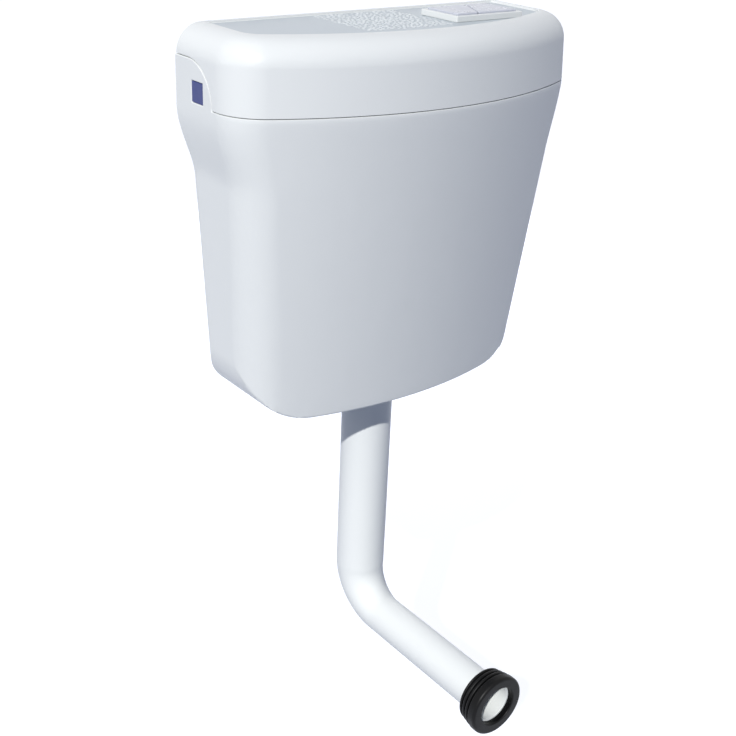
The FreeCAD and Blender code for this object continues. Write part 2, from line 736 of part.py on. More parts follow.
# Push plate, pads, rods and springs

def plate_box(name, inset, high):
    """A box on the push plate outline, moved in all round."""
    length = d.plate_length / 2 - inset
    breadth = d.plate_breadth / 2 - inset
    return box(
        name, (d.pad_middle - length, d.pad_middle + length),
        (-d.pad_depth - breadth, -d.pad_depth + breadth), high)


def make_housing():
    collar = plate_box("housing_collar", 0, (tray_level, plate_top))
    well = plate_box("housing_well", housing_inset, (housing_base - d.housing_floor, tray_level))
    cavity = plate_box("housing_cavity", d.plate_rim, (housing_base, plate_top + OVERCUT))
    low = housing_base - d.guide_length
    guides = []
    bores = []
    for name, (x, y) in RODS.items():
        guides.append(cylinder(name + "_guide", d.rod_radius + d.guide_wall, d.guide_length, x, y, low))
        bores.append(cylinder(
            name + "_bore", d.rod_radius + d.seat_gap, d.guide_length + 2 * OVERCUT, x, y, low - OVERCUT))
    solid = fused("housing_solid", [collar, well] + guides)
    return without("push_plate_housing", solid, [cavity] + bores)


def make_retainer():
    top = lid_ceiling - d.thread_fit
    outer = plate_box("retainer_outer", -d.retainer_overlap, (top - d.retainer_thickness, top))
    inner = plate_box(
        "retainer_inner", housing_inset - d.retainer_gap,
        (top - d.retainer_thickness - OVERCUT, top + OVERCUT))
    return without("housing_retainer", outer, [inner])


def pad_corners(name, inset):
    """Plan of one pad; the split between the pads runs at a slant."""
    length = d.plate_length / 2 - d.plate_rim - d.pad_gap
    breadth = d.plate_breadth / 2 - d.plate_rim - d.pad_gap
    slope = d.pad_slant / breadth
    split = (d.pad_gap + inset) * root(1 + slope * slope)
    near = -d.pad_depth - breadth + inset
    far = -d.pad_depth + breadth - inset
    slant = slope * (breadth - inset)
    if name == "full_flush":
        left = d.pad_middle - length + inset
        return [
            (left, near), (d.pad_middle - slant - split, near), (d.pad_middle + slant - split, far),
            (left, far)]
    right = d.pad_middle + length - inset
    return [
        (d.pad_middle - slant + split, near), (right, near), (right, far),
        (d.pad_middle + slant + split, far)]


def make_pad(name):
    block = extruded(name + "_block", "XY_Plane", pad_corners(name, 0), pad_low, d.pad_thickness)
    hollow = extruded(
        name + "_hollow", "XY_Plane", pad_corners(name, d.pad_wall), pad_low - OVERCUT,
        d.pad_thickness - d.pad_roof + OVERCUT)
    return without(name + "_pad", block, [hollow])


def make_rod(name):
    """A push rod with a rounded foot that ends just above its lever."""
    x, y = RODS[name]
    arm = x - d.pivot_offset
    rise = d.press_travel / 2
    reach = root(arm * arm - rise * rise)
    surface = d.pivot_height + arm * rise / reach + d.lever_thickness / 2 * arm / reach
    foot = surface + d.seat_gap + d.rod_radius * (arm / reach - 1)
    radius = d.rod_radius
    profile = [(0, foot, radius), (radius, foot + radius), (radius, pad_ceiling), (0, pad_ceiling)]
    return turned(name + "_rod", profile, x, y)


def make_spring(name):
    """A return spring between the housing floor and the pad, as quarter-turn arcs."""
    x, y = (size.value for size in RODS[name])
    radius = d.spring_radius.value
    wire = d.spring_wire.value
    low = housing_base.value + wire
    high = pad_ceiling.value - wire - d.spring_play.value
    steps = 4 * SPRING_TURNS

    def point(step):
        angle = math.pi / 2 * step
        level = low + (high - low) * step / steps
        return V(radius * math.cos(angle), radius * math.sin(angle), level)

    arcs = [
        Part.Arc(point(step), point(step + 0.5), point(step + 1)).toShape() for step in range(steps)]
    start = arcs[0].tangentAt(arcs[0].FirstParameter)
    section = Part.Wire([Part.Circle(point(0), start, wire).toShape()])
    coil = document.addObject("Part::Feature", name + "_spring")
    coil.Shape = Part.Wire(arcs).makePipeShell([section], True, False)
    coil.Placement = FreeCAD.Placement(V(x, y, 0), FreeCAD.Rotation())
    gaps = [(point(step + 4) - point(step)).Length - 2 * wire for step in range(steps - 3)]
    print(f"{coil.Label}: least gap between turns {min(gaps):.2f} mm")
    return coil


# Outlet and flush valve

def ring(name, inside, outside, low, high):
    """A plain ring round the outlet axis."""
    profile = [(inside, low), (outside, low), (outside, high), (inside, high)]
    return turned(name, profile, 0, axis_y)


def make_washer():
    inside = d.tail_radius + d.socket_clearance
    return ring("outlet_washer", inside, d.base_flange, valve_floor, flange_under)


def make_valve_base():
    socket = d.pipe_radius + d.socket_clearance
    profile = [
        (socket, tail_end), (d.tail_radius, tail_end), (d.tail_radius, flange_under),
        (d.base_flange, flange_under), (d.base_flange, flange_top),
        (d.waterway_radius + 2 * d.seat_width, flange_top),
        (d.waterway_radius + d.seat_width, seat_level),
        (d.waterway_radius, seat_level), (d.waterway_radius, pipe_top), (socket, pipe_top)]
    return turned("flush_valve_base", profile, 0, axis_y)


def lugged_nut(name, profile, low, high):
    """A round nut with grip lugs along its side."""
    body = turned(name, profile, 0, axis_y)
    corners = rectangle(
        d.backnut_radius - 1.5 * d.lug_height, d.backnut_radius, -d.lug_half_width, d.lug_half_width)
    lug = sketch_on(body, name + "_lug", "XY_Plane", corners, low)
    pad = body.newObject("PartDesign::Pad", name + "_lug_pad")
    pad.Profile = lug
    bind(pad, "Length", high - low)
    pattern = body.newObject("PartDesign::PolarPattern", name + "_lugs")
    pattern.Originals = [pad]
    pattern.Axis = (lug, ["N_Axis"])
    pattern.Angle = 360
    pattern.Occurrences = NUT_LUGS
    body.Tip = pattern
    return body


def make_backnut():
    low = well_ceiling - d.backnut_height
    bore = d.tail_radius + d.thread_fit
    side = d.backnut_radius - d.lug_height
    profile = [(bore, low), (side, low), (side, well_ceiling), (bore, well_ceiling)]
    return lugged_nut("outlet_backnut", profile, low, well_ceiling)


def make_pipe_nut():
    shelf = tail_end - d.pipe_seal_height
    low = shelf - d.union_lip
    high = low + d.union_height
    bore = d.tail_radius + d.thread_fit
    neck = d.pipe_radius + d.union_clearance
    side = d.backnut_radius - d.lug_height
    profile = [(bore, shelf), (neck, shelf), (neck, low), (side, low), (side, high), (bore, high)]
    return lugged_nut("flush_pipe_nut", profile, low, high)


def make_pipe_seal():
    inside = d.pipe_radius + d.thread_fit
    outside = d.tail_radius - d.seat_gap
    return ring("flush_pipe_seal", inside, outside, tail_end - d.pipe_seal_height, tail_end)


def make_tower():
    inside = d.tower_radius - d.tower_wall
    hole = d.tube_radius + d.tube_clearance
    profile = [
        (inside, flange_top), (d.tower_radius, flange_top), (d.tower_radius, d.tower_top),
        (hole, d.tower_top), (hole, cage_ceiling), (inside, cage_ceiling)]
    cage = turned("tower_cage", profile, 0, axis_y)
    low = flange_top + d.port_sill
    high = low + d.port_height
    half = d.port_half_width
    reach = d.tower_radius + OVERCUT
    ports = [
        box("tower_ports_across", (-reach, reach), (axis_y - half, axis_y + half), (low, high)),
        box("tower_ports_along", (-half, half), (axis_y - reach, axis_y + reach), (low, high))]
    body = without("tower_open_cage", cage, ports)
    eye = d.pivot_height
    size = d.bracket_eye
    outline = [
        (-d.bracket_foot, d.tower_top), (d.bracket_foot, d.tower_top),
        (d.pivot_offset + size, eye - size), (d.pivot_offset + size, eye + size),
        (d.pivot_offset - size, eye + size), (-d.bracket_foot, d.tower_top + d.bracket_rise)]
    ahead = d.outlet_depth + d.bracket_ahead
    bracket = extruded("tower_bracket", "XZ_Plane", outline, ahead, d.bracket_thickness)
    bore = cylinder(
        "bracket_bore", d.pin_radius, d.bracket_thickness + 2 * OVERCUT, d.pivot_offset,
        OVERCUT - ahead, eye, TO_FRONT)
    return without("flush_valve_tower", fused("tower_solid", [body, bracket]), [bore])


def collar_under():
    """Height of the lifting collar's underside over the resting flush lever."""
    arm = d.full_rod_offset - d.pivot_offset
    rise = d.press_travel / 2
    reach = root(arm * arm - rise * rise)
    back = d.pivot_offset - d.collar_radius
    return d.pivot_height - back * rise / reach + d.lever_thickness / 2 * arm / reach + d.seat_gap


def make_overflow_tube():
    seal_low = seat_level + d.seat_gap
    disc = seal_low + d.seal_thickness
    disc_top = disc + d.disc_thickness
    disc_edge = d.waterway_radius + d.disc_overlap
    spigot = tube_bore + d.spigot_wall
    collar = collar_under()
    collar_top = collar + d.collar_thickness
    profile = [
        (tube_bore, seal_low), (spigot, seal_low), (spigot, disc), (disc_edge, disc),
        (disc_edge, disc_top), (d.tube_radius, disc_top), (d.tube_radius, collar),
        (d.collar_radius, collar), (d.collar_radius, collar_top), (d.tube_radius, collar_top),
        (d.tube_radius, d.tube_top), (tube_bore, d.tube_top)]
    return turned("overflow_tube", profile, 0, axis_y)


def make_flush_seal():
    low = seat_level + d.seat_gap
    inside = tube_bore + d.spigot_wall
    return ring("flush_seal", inside, d.waterway_radius + d.seal_overlap, low, low + d.seal_thickness)


def make_ring_float():
    top = cage_ceiling - d.ring_float_drop
    outside = d.tower_radius - d.tower_wall - d.ring_float_gap
    return ring("flush_float", d.tube_radius, outside, top - d.ring_float_height, top)


# Flush levers

flush_lever_back = d.outlet_depth + d.lever_back
flush_lever_front = d.outlet_depth + d.bracket_ahead - d.lever_play
trip_back = d.outlet_depth + d.bracket_ahead + d.bracket_thickness + d.lever_play
trip_front = d.half_rod_depth + 2 * d.rod_radius


def make_lever(name, arm, tip, tip_depth, near, far):
    """A rocking lever, level in its own frame, laid back so that its press end is up."""
    thick = d.lever_thickness
    shoulder = -d.lever_shoulder
    end = arm + d.lever_overrun
    outline = [
        (-tip, -tip_depth - d.tip_half_width), (shoulder, -far), (end, -far), (end, -near),
        (shoulder, -near), (-tip, d.tip_half_width - tip_depth)]
    blade = extruded(name + "_blade", "XY_Plane", outline, -thick / 2, thick)
    hub = cylinder(name + "_hub", d.hub_radius, far - near, 0, -near, 0, TO_FRONT)
    bore = cylinder(
        name + "_bore", d.pin_radius + d.seat_gap, far - near + 2 * OVERCUT, 0, OVERCUT - near, 0,
        TO_FRONT)
    lever = without(name, fused(name + "_solid", [blade, hub]), [bore])
    tilt = arc_sine(d.press_travel / 2 / arm)
    place(lever, d.pivot_offset, 0, d.pivot_height, FreeCAD.Rotation(V(0, 1, 0), -tilt.value))
    bind(lever, "Placement.Rotation.Angle", tilt)
    return lever


def make_flush_lever():
    arm = d.full_rod_offset - d.pivot_offset
    tip = d.pivot_offset - d.tube_radius - d.tip_gap
    return make_lever("flush_lever", arm, tip, d.outlet_depth, flush_lever_back, flush_lever_front)


def make_trip_lever():
    arm = d.half_rod_offset - d.pivot_offset
    middle = (trip_back + trip_front) / 2
    return make_lever("half_flush_trip", arm, d.trip_reach, middle, trip_back, trip_front)


def make_lever_pin():
    """A pin with a head at each end, through both levers and the bracket."""
    inner_back = flush_lever_back - d.pin_slack
    inner_front = trip_front + d.pin_slack
    back = inner_back - d.pin_head
    front = inner_front + d.pin_head
    shaft = d.pin_radius
    head = d.pin_head_radius
    profile = [
        (0, back), (head, back), (head, inner_back), (shaft, inner_back), (shaft, inner_front),
        (head, inner_front), (head, front), (0, front)]
    return turned("lever_pin", profile, d.pivot_offset, 0, d.pivot_height, TO_FRONT)


# Flush pipe and pan cone

def pipe_form(name, shrink, overrun):
    """The bent, tapering pipe as a solid; the shrink makes the bore."""
    body = new_body(name)
    bend_top = d.bend_radius - d.pipe_drop
    bend_front = d.outlet_depth + d.bend_radius
    upper = d.pipe_radius - shrink
    lower = d.pipe_end_radius - shrink

    middle = sized(0)
    top_disc = disc_on(body, name + "_top", "XY_Plane", upper, middle, axis_y, bend_top)
    leg = body.newObject("PartDesign::Pad", name + "_upper_leg")
    leg.Profile = top_disc
    bind(leg, "Length", pipe_top + overrun - bend_top)
    path = blank_sketch(body, name + "_path", "YZ_Plane")
    centre = V(-bend_front.value, bend_top.value, 0)
    circle = Part.Circle(centre, V(0, 0, 1), d.bend_radius.value)
    path.addGeometry([Part.ArcOfCircle(circle, -math.pi / 2, 0)], False)
    constrain(path, [
        ("DistanceX", 0, 3, -bend_front),
        ("DistanceY", 0, 3, bend_top),
        ("DistanceX", 0, 2, axis_y),
        ("DistanceY", 0, 2, bend_top),
        ("DistanceX", 0, 1, -bend_front)])
    start = disc_on(body, name + "_bend_start", "XY_Plane", upper, middle, axis_y, bend_top)
    finish = disc_on(body, name + "_bend_end", "XZ_Plane", lower, middle, -d.pipe_drop, bend_front)
    bend = body.newObject("PartDesign::AdditivePipe", name + "_bend")
    bend.Profile = start
    bend.Spine = path
    bend.Transformation = "Multisection"
    bend.Sections = [finish]
    end_disc = disc_on(body, name + "_end", "XZ_Plane", lower, middle, -d.pipe_drop, bend_front)
    end_leg = body.newObject("PartDesign::Pad", name + "_lower_leg")
    end_leg.Profile = end_disc
    bind(end_leg, "Length", d.pipe_reach + overrun - bend_front)
    return body


def make_flush_pipe():
    outer = pipe_form("pipe_outer", sized(0), -d.seat_gap)
    bore = pipe_form("pipe_bore", d.pipe_wall, sized(OVERCUT))
    return without("flush_pipe", outer, [bore])


def make_pan_cone():
    front = d.pipe_reach + d.cone_nose
    back = front - d.cone_length
    grip = d.pipe_end_radius + d.cone_fit
    pitch = (d.cone_length - d.cone_ring) / CONE_RIBS
    step = (d.cone_radius - d.cone_back_radius) / CONE_RIBS
    profile = [(grip, back)]
    for rib in range(CONE_RIBS):
        low = back + pitch * rib
        high = low + d.rib_width
        crest = d.cone_back_radius + step * rib
        groove = crest - d.rib_depth
        profile += [(crest, low), (crest, high)]
        profile += [(groove, high + d.rib_flank), (groove, low + pitch - d.rib_flank)]
    profile += [(d.cone_radius, front - d.cone_ring), (d.cone_radius, front - d.cone_chamfer)]
    profile += [(d.cone_radius - d.cone_chamfer, front), (grip, front)]
    profile.reverse()
    return turned("pan_cone", profile, 0, 0, -d.pipe_drop, TO_FRONT)


# Side plug and inlet

def inlet_disc(name, radius, start, length):
    """A disc round the inlet axis, along X from its start."""
    return cylinder(name, radius, length, start, window_y, window_z, ALONG_X)


def inlet_square(name, across, half):
    """A square bar round the inlet axis."""
    return box(name, across, (window_y - half, window_y + half), (window_z - half, window_z + half))


def square_ring(name, low, high):
    outer = inlet_disc(name + "_disc", d.inlet_flange_radius, low, high - low)
    inner = inlet_square(name + "_hole", (low - OVERCUT, high + OVERCUT), d.window_size / 2)
    return without(name, outer, [inner])


def make_plug():
    head = inlet_square("plug_head", (d.peg_setback - d.lid_half_width, -seal_face), peg_half)
    flange = inlet_disc("plug_flange", d.inlet_flange_radius, -seal_face, d.plug_flange)
    return fused("side_inlet_plug", [head, flange])


def make_fill_body():
    x = chamber_x
    length = shank_end - x
    shank = inlet_disc("fill_shank", d.shank_radius, x, length)
    flange = inlet_disc(
        "fill_flange", d.inlet_flange_radius, seal_face - d.fill_flange, d.fill_flange)
    block = inlet_square("fill_peg", (seal_face, d.lid_half_width - d.peg_setback), peg_half)
    chamber = cylinder(
        "fill_chamber", d.chamber_radius, d.chamber_height, x, window_y, chamber_low)
    boss = cylinder(
        "fill_boss", d.fill_boss_radius, boss_face - d.window_depth, x, window_y, fill_axis, TO_FRONT)
    solid = fused("fill_solid", [shank, flange, block, chamber, boss])
    bore = inlet_disc("fill_bore", d.inlet_bore, x, length + OVERCUT)
    hollow = cylinder(
        "fill_hollow", d.chamber_radius - d.chamber_wall, d.chamber_height, x, window_y,
        chamber_low + d.chamber_floor)
    spout = cylinder(
        "fill_spout", d.spout_radius, d.chamber_floor + 2 * OVERCUT, x, window_y,
        chamber_low - OVERCUT)
    pin = cylinder(
        "fill_pin_bore", d.fill_pin_radius, d.fill_pin_seat + OVERCUT, x,
        d.fill_pin_seat - boss_face, fill_axis, TO_FRONT)
    seat = inlet_disc(
        "fill_filter_seat", d.filter_rim_radius + d.filter_fit,
        shank_end - d.filter_rim - d.filter_fit, OVERCUT)
    groove = d.shank_radius - d.relief_depth
    outside = d.shank_radius + OVERCUT
    nut_end = d.lid_half_width + d.inlet_nut_flange + d.inlet_nut_height
    relief_end = nut_end + d.relief_width
    relief = turned("fill_thread_relief", [
        (groove, nut_end), (outside, nut_end), (outside, relief_end), (groove, relief_end)],
        0, window_y, window_z, ALONG_X)
    return without("fill_valve_body", solid, [bore, hollow, spout, pin, seat, relief])


def make_inlet_nut():
    face = d.lid_half_width
    corners = []
    for step in range(6):
        angle = math.pi / 3 * step
        corners.append((
            window_y + d.inlet_nut_radius * math.cos(angle),
            window_z + d.inlet_nut_radius * math.sin(angle)))
    hexagon = extruded(
        "inlet_nut_hex", "YZ_Plane", corners, face + d.inlet_nut_flange, d.inlet_nut_height)
    flange = inlet_disc("inlet_nut_flange", d.inlet_flange_radius, face, d.inlet_nut_flange)
    length = d.inlet_nut_flange + d.inlet_nut_height + 2 * OVERCUT
    bore = inlet_disc("inlet_nut_bore", d.shank_radius + d.thread_fit, face - OVERCUT, length)
    return without("inlet_nut", fused("inlet_nut_solid", [hexagon, flange]), [bore])


def make_filter():
    back = shank_end - d.filter_length
    rim = shank_end - d.filter_rim
    outside = d.inlet_bore - d.filter_fit
    inside = outside - d.filter_wall
    profile = [
        (inside, back), (outside, back), (outside, rim), (d.filter_rim_radius, rim),
        (d.filter_rim_radius, shank_end), (inside, shank_end)]
    return turned("inlet_filter", profile, 0, window_y, window_z, ALONG_X)


# Fill valve

def make_fill_cap():
    edge = d.chamber_radius + d.cap_overhang
    top = chamber_top + d.cap_height
    profile = [
        (0, chamber_top), (edge, chamber_top), (edge, top - d.cap_chamfer), (edge - d.cap_chamfer, top),
        (0, top)]
    return turned("fill_valve_cap", profile, chamber_x, window_y)


def make_diaphragm():
    low = chamber_top - d.diaphragm_thickness
    radius = d.chamber_radius - d.chamber_wall - d.diaphragm_fit
    profile = [(0, low), (radius, low), (radius, chamber_top), (0, chamber_top)]
    return turned("fill_diaphragm", profile, chamber_x, window_y)


def make_fill_tube():
    radius = d.fill_tube_radius
    bore = radius - d.fill_tube_wall
    stop = radius + d.float_stop
    low = d.tank_wall + d.fill_tube_foot - d.tank_height
    stop_top = d.float_low - d.seat_gap
    stop_low = d.float_low - d.float_stop_height
    profile = [
        (bore, low), (radius, low), (radius, stop_low), (stop, stop_low), (stop, stop_top),
        (radius, stop_top), (radius, chamber_low), (bore, chamber_low)]
    return turned("fill_tube", profile, chamber_x, window_y)


def float_box(name, inset, high):
    """A box on the float's outline, moved in all round."""
    wide = d.float_width / 2 - inset
    deep = d.float_breadth / 2 - inset
    return box(
        name, (chamber_x - wide, chamber_x + wide), (window_y - deep, window_y + deep), high)


def make_fill_float():
    low = d.float_low
    top = low + d.float_height
    shell = float_box("float_shell", 0, (low, top))
    air = float_box("float_air", d.float_wall, (low - OVERCUT, top - d.float_wall))
    sleeve = cylinder(
        "float_sleeve", d.fill_tube_radius + d.sleeve_wall, d.float_height, chamber_x, window_y, low)
    bore = cylinder(
        "float_bore", d.fill_tube_radius + d.sleeve_gap, d.float_height + 2 * OVERCUT, chamber_x,
        window_y, low - OVERCUT)
    cup = without("float_cup", shell, [air])
    return without("fill_float", fused("float_solid", [cup, sleeve]), [bore])


def make_float_rod():
    low = d.float_low + d.float_height
    foot = d.float_rod_foot
    stop_top = fill_axis - d.float_travel
    stop_low = stop_top - d.float_rod_stop_height
    top = window_z + d.float_rod_head
    thin = d.float_rod_radius
    wide = d.float_rod_stop
    profile = [
        (0, low), (foot, low), (foot, low + foot), (thin, low + foot), (thin, stop_low),
        (wide, stop_low), (wide, stop_top), (thin, stop_top), (thin, top), (0, top)]
    return turned("float_rod", profile, rod_x, rod_y)


def make_fill_lever():
    """The lever that the float rod lifts, drawn round its own pin."""
    arm = d.float_rod_arm
    back = -fill_lever_back
    front = back - d.fill_lever_width
    thick = d.fill_lever_thickness
    blade = extruded(
        "fill_lever_blade", "XY_Plane", rectangle(-d.fill_hub_radius, arm, front, back), -thick / 2, thick)
    eye = cylinder("fill_lever_eye", d.fill_eye_radius, thick, arm, rod_y, -thick / 2)
    hub = cylinder("fill_lever_hub", d.fill_hub_radius, d.fill_lever_width, 0, back, 0, TO_FRONT)
    through = d.fill_lever_width + 2 * OVERCUT
    bore = cylinder(
        "fill_lever_bore", d.fill_pin_radius + d.seat_gap, through, 0, back + OVERCUT, 0, TO_FRONT)
    slot = cylinder(
        "fill_lever_slot", d.fill_eye_bore, thick + 2 * OVERCUT, arm, rod_y, -thick / 2 - OVERCUT)
    lever = without("fill_lever", fused("fill_lever_solid", [blade, eye, hub]), [bore, slot])
    return place(lever, chamber_x, 0, fill_axis)


def make_fill_pin():
    back = boss_face - d.fill_pin_seat
    head = fill_lever_back + d.fill_lever_width + d.pin_slack
    front = head + d.fill_pin_head
    profile = [
        (0, back), (d.fill_pin_radius, back), (d.fill_pin_radius, head),
        (d.fill_pin_head_radius, head), (d.fill_pin_head_radius, front), (0, front)]
    return turned("fill_lever_pin", profile, chamber_x, 0, fill_axis, TO_FRONT)


parts = [
    make_tank(),
    make_lid(),
    make_plug(),
    square_ring("plug_gasket", -inner_face, -seal_face),
    make_housing(),
    make_retainer(),
    make_pad("full_flush"),
    make_pad("half_flush"),
    make_rod("full_flush"),
    make_rod("half_flush"),
    make_spring("full_flush"),
    make_spring("half_flush"),
    make_washer(),
    make_valve_base(),
    make_backnut(),
    make_tower(),
    make_overflow_tube(),
    make_flush_seal(),
    make_ring_float(),
    make_flush_lever(),
    make_trip_lever(),
    make_lever_pin(),
    make_pipe_nut(),
    make_pipe_seal(),
    make_flush_pipe(),
    make_pan_cone(),
    make_fill_body(),
    square_ring("inlet_gasket", seal_face, inner_face),
    make_inlet_nut(),
    make_filter(),
    make_fill_cap(),
    make_diaphragm(),
    make_fill_tube(),
    make_fill_float(),
    make_float_rod(),
    make_fill_lever(),
    make_fill_pin(),
]

document.recompute()
for thing in document.Objects:
    if "Invalid" in thing.State or "Error" in thing.State:
        raise RuntimeError(f"{thing.Label} did not build: {thing.State}")
for part in parts:
    if part.Shape.isNull() or not part.Shape.isValid():
        raise RuntimeError(f"{part.Label} is not a sound solid")

os.makedirs("parts", exist_ok=True)
for part in parts:
    part.Shape.exportStep(f"parts/{part.Label}.step")
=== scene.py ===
"""Dresses the frame of a wall-hung flush cistern: finishes, rounded edges, fine details and stage."""

import json
import math

import bmesh
import bpy
from mathutils import Matrix, Vector


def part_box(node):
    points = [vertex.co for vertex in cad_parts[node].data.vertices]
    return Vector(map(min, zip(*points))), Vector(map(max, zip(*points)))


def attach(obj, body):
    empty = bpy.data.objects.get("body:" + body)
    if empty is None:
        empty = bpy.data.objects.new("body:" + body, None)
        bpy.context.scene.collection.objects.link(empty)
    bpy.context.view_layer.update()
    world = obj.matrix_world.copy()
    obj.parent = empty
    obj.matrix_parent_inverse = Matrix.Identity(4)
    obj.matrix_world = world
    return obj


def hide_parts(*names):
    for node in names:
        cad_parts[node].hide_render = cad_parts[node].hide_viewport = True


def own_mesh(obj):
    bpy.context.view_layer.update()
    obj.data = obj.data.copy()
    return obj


bl_info = {
    "name": "Flush Cistern Finish",
    "version": (1, 0, 0),
    "blender": (4, 5, 0),
    "location": "3D View > Sidebar > Cistern",
    "description": "Dresses a wall-hung flush cistern: shells, push pads, valves, flush bend and pan cone",
    "category": "Object",
}

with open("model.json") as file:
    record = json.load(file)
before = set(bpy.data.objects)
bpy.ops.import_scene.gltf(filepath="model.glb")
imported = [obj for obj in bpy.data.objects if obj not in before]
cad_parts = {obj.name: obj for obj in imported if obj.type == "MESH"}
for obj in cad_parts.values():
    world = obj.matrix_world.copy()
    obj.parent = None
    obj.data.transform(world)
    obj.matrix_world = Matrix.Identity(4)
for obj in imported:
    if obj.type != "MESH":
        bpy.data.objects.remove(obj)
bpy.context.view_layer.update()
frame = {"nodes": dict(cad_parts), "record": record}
BODY_OF = {
    node: body for body, nodes in frame["record"]["behaviour"]["bodies"].items() for node in nodes}
SLOT_OF = {row["node"]: row["material_slot"] for row in frame["record"]["subparts"]}

MM = 0.001

# Corners nearer than SAME_POINT are one, and faces that bend less than FLAT are one flat area.
# Edges sharper than HARD are rounded, and edges sharper than CREASE stay sharp in the shading.
SAME_POINT = 0.002 * MM
FLAT = math.radians(0.05)
HARD = math.radians(30)
CREASE = math.radians(38)

# Name of the face attribute by which the tray's floor gets a darker tone: painted shade on the level
# floor.
TRAY_SHADE_MARK = "tray_painted_shade"
FINISHES = {}


# Colour, nodes and finishes

def linear(code):
    """An sRGB hex colour as linear red, green, blue and alpha."""
    shares = [int(code[at:at + 2], 16) / 255 for at in (1, 3, 5)]
    return [s / 12.92 if s <= 0.04045 else ((s + 0.055) / 1.055) ** 2.4 for s in shares] + [1.0]


def add(tree, kind, inputs=None, **settings):
    """Add a node with its settings; an input is a value or the socket that feeds it."""
    node = tree.nodes.new(kind)
    for name, value in settings.items():
        setattr(node, name, value)
    for key, value in (inputs or {}).items():
        if isinstance(value, bpy.types.NodeSocket):
            tree.links.new(value, node.inputs[key])
        else:
            node.inputs[key].default_value = value
    return node


def moulded(name, tone, cloud, skin, lift, gloss, shift, shader, marked=None):
    """A moulded skin: faint clouds in its tone, patches in its gloss and a fine relief.

    The cloud, the skin's grain and the relief's lift are in millimetres. The gloss is the least and
    most roughness, and the shift is how far the clouds darken the tone. The shader holds the numbers
    that are the same all over. Faces that carry an attribute can have another tone, such as the tray's
    painted shade: marked names both.
    """
    material = bpy.data.materials.new(name)
    material.use_nodes = True
    tree = material.node_tree
    tree.nodes.clear()
    place = add(tree, "ShaderNodeTexCoord").outputs["Object"]
    clouds = add(tree, "ShaderNodeTexNoise", {
        "Vector": place, "Scale": 1 / (cloud * MM), "Detail": 4.0, "Roughness": 0.55})
    ground = list(tone)
    if marked:
        mark = add(tree, "ShaderNodeAttribute", attribute_name=marked[0])
        ground = add(tree, "ShaderNodeMix", {
            0: mark.outputs["Fac"], 6: list(tone), 7: list(marked[1])}, data_type="RGBA").outputs[2]
    colour = add(tree, "ShaderNodeMix", {
        0: clouds.outputs["Fac"], 6: ground, 7: [1 - shift] * 3 + [1.0]},
        data_type="RGBA", blend_type="MULTIPLY")
    # The gloss varies in patches that are about twice as wide as the clouds.
    patch = cloud / 0.45
    patches = add(tree, "ShaderNodeTexNoise", {
        "Vector": place, "Scale": 1 / (patch * MM), "Detail": 6.0, "Roughness": 0.6})
    sheen = add(tree, "ShaderNodeMapRange", {
        "Value": patches.outputs["Fac"], "From Min": 0.3, "From Max": 0.7,
        "To Min": gloss[0], "To Max": gloss[1]})
    grain = add(tree, "ShaderNodeTexNoise", {
        "Vector": place, "Scale": 1 / (skin * MM), "Detail": 2.0, "Roughness": 0.5})
    relief = add(tree, "ShaderNodeBump", {
        "Height": grain.outputs["Fac"], "Strength": 1.0, "Distance": lift * MM})
    surface = add(tree, "ShaderNodeBsdfPrincipled", {
        "Base Color": colour.outputs[2], "Roughness": sheen.outputs["Result"],
        "Normal": relief.outputs["Normal"], **shader})
    add(tree, "ShaderNodeOutputMaterial", {"Surface": surface.outputs["BSDF"]})
    return material


def drawn_wire(name, tone):
    """A wire with draw marks in its tone, gloss and relief, coarser than real ones so that they show."""
    material = bpy.data.materials.new(name)
    material.use_nodes = True
    tree = material.node_tree
    tree.nodes.clear()
    streak, lift, gloss, dulling = 0.5 * MM, 0.01 * MM, (0.22, 0.46), 0.8
    place = add(tree, "ShaderNodeTexCoord").outputs["Object"]
    marks = add(tree, "ShaderNodeTexNoise", {
        "Vector": place, "Scale": 1 / streak, "Detail": 3.0})
    streaks = add(tree, "ShaderNodeMapRange", {
        "Value": marks.outputs["Fac"], "To Min": gloss[0], "To Max": gloss[1]})
    dull = [share * dulling for share in tone[:3]] + [1.0]
    colour = add(tree, "ShaderNodeMix", {
        0: marks.outputs["Fac"], 6: list(tone), 7: dull}, data_type="RGBA")
    relief = add(tree, "ShaderNodeBump", {
        "Height": marks.outputs["Fac"], "Strength": 0.6, "Distance": lift})
    surface = add(tree, "ShaderNodeBsdfPrincipled", {
        "Base Color": colour.outputs[2], "Metallic": 1.0, "Roughness": streaks.outputs["Result"],
        "Normal": relief.outputs["Normal"]})
    add(tree, "ShaderNodeOutputMaterial", {"Surface": surface.outputs["BSDF"]})
    return material


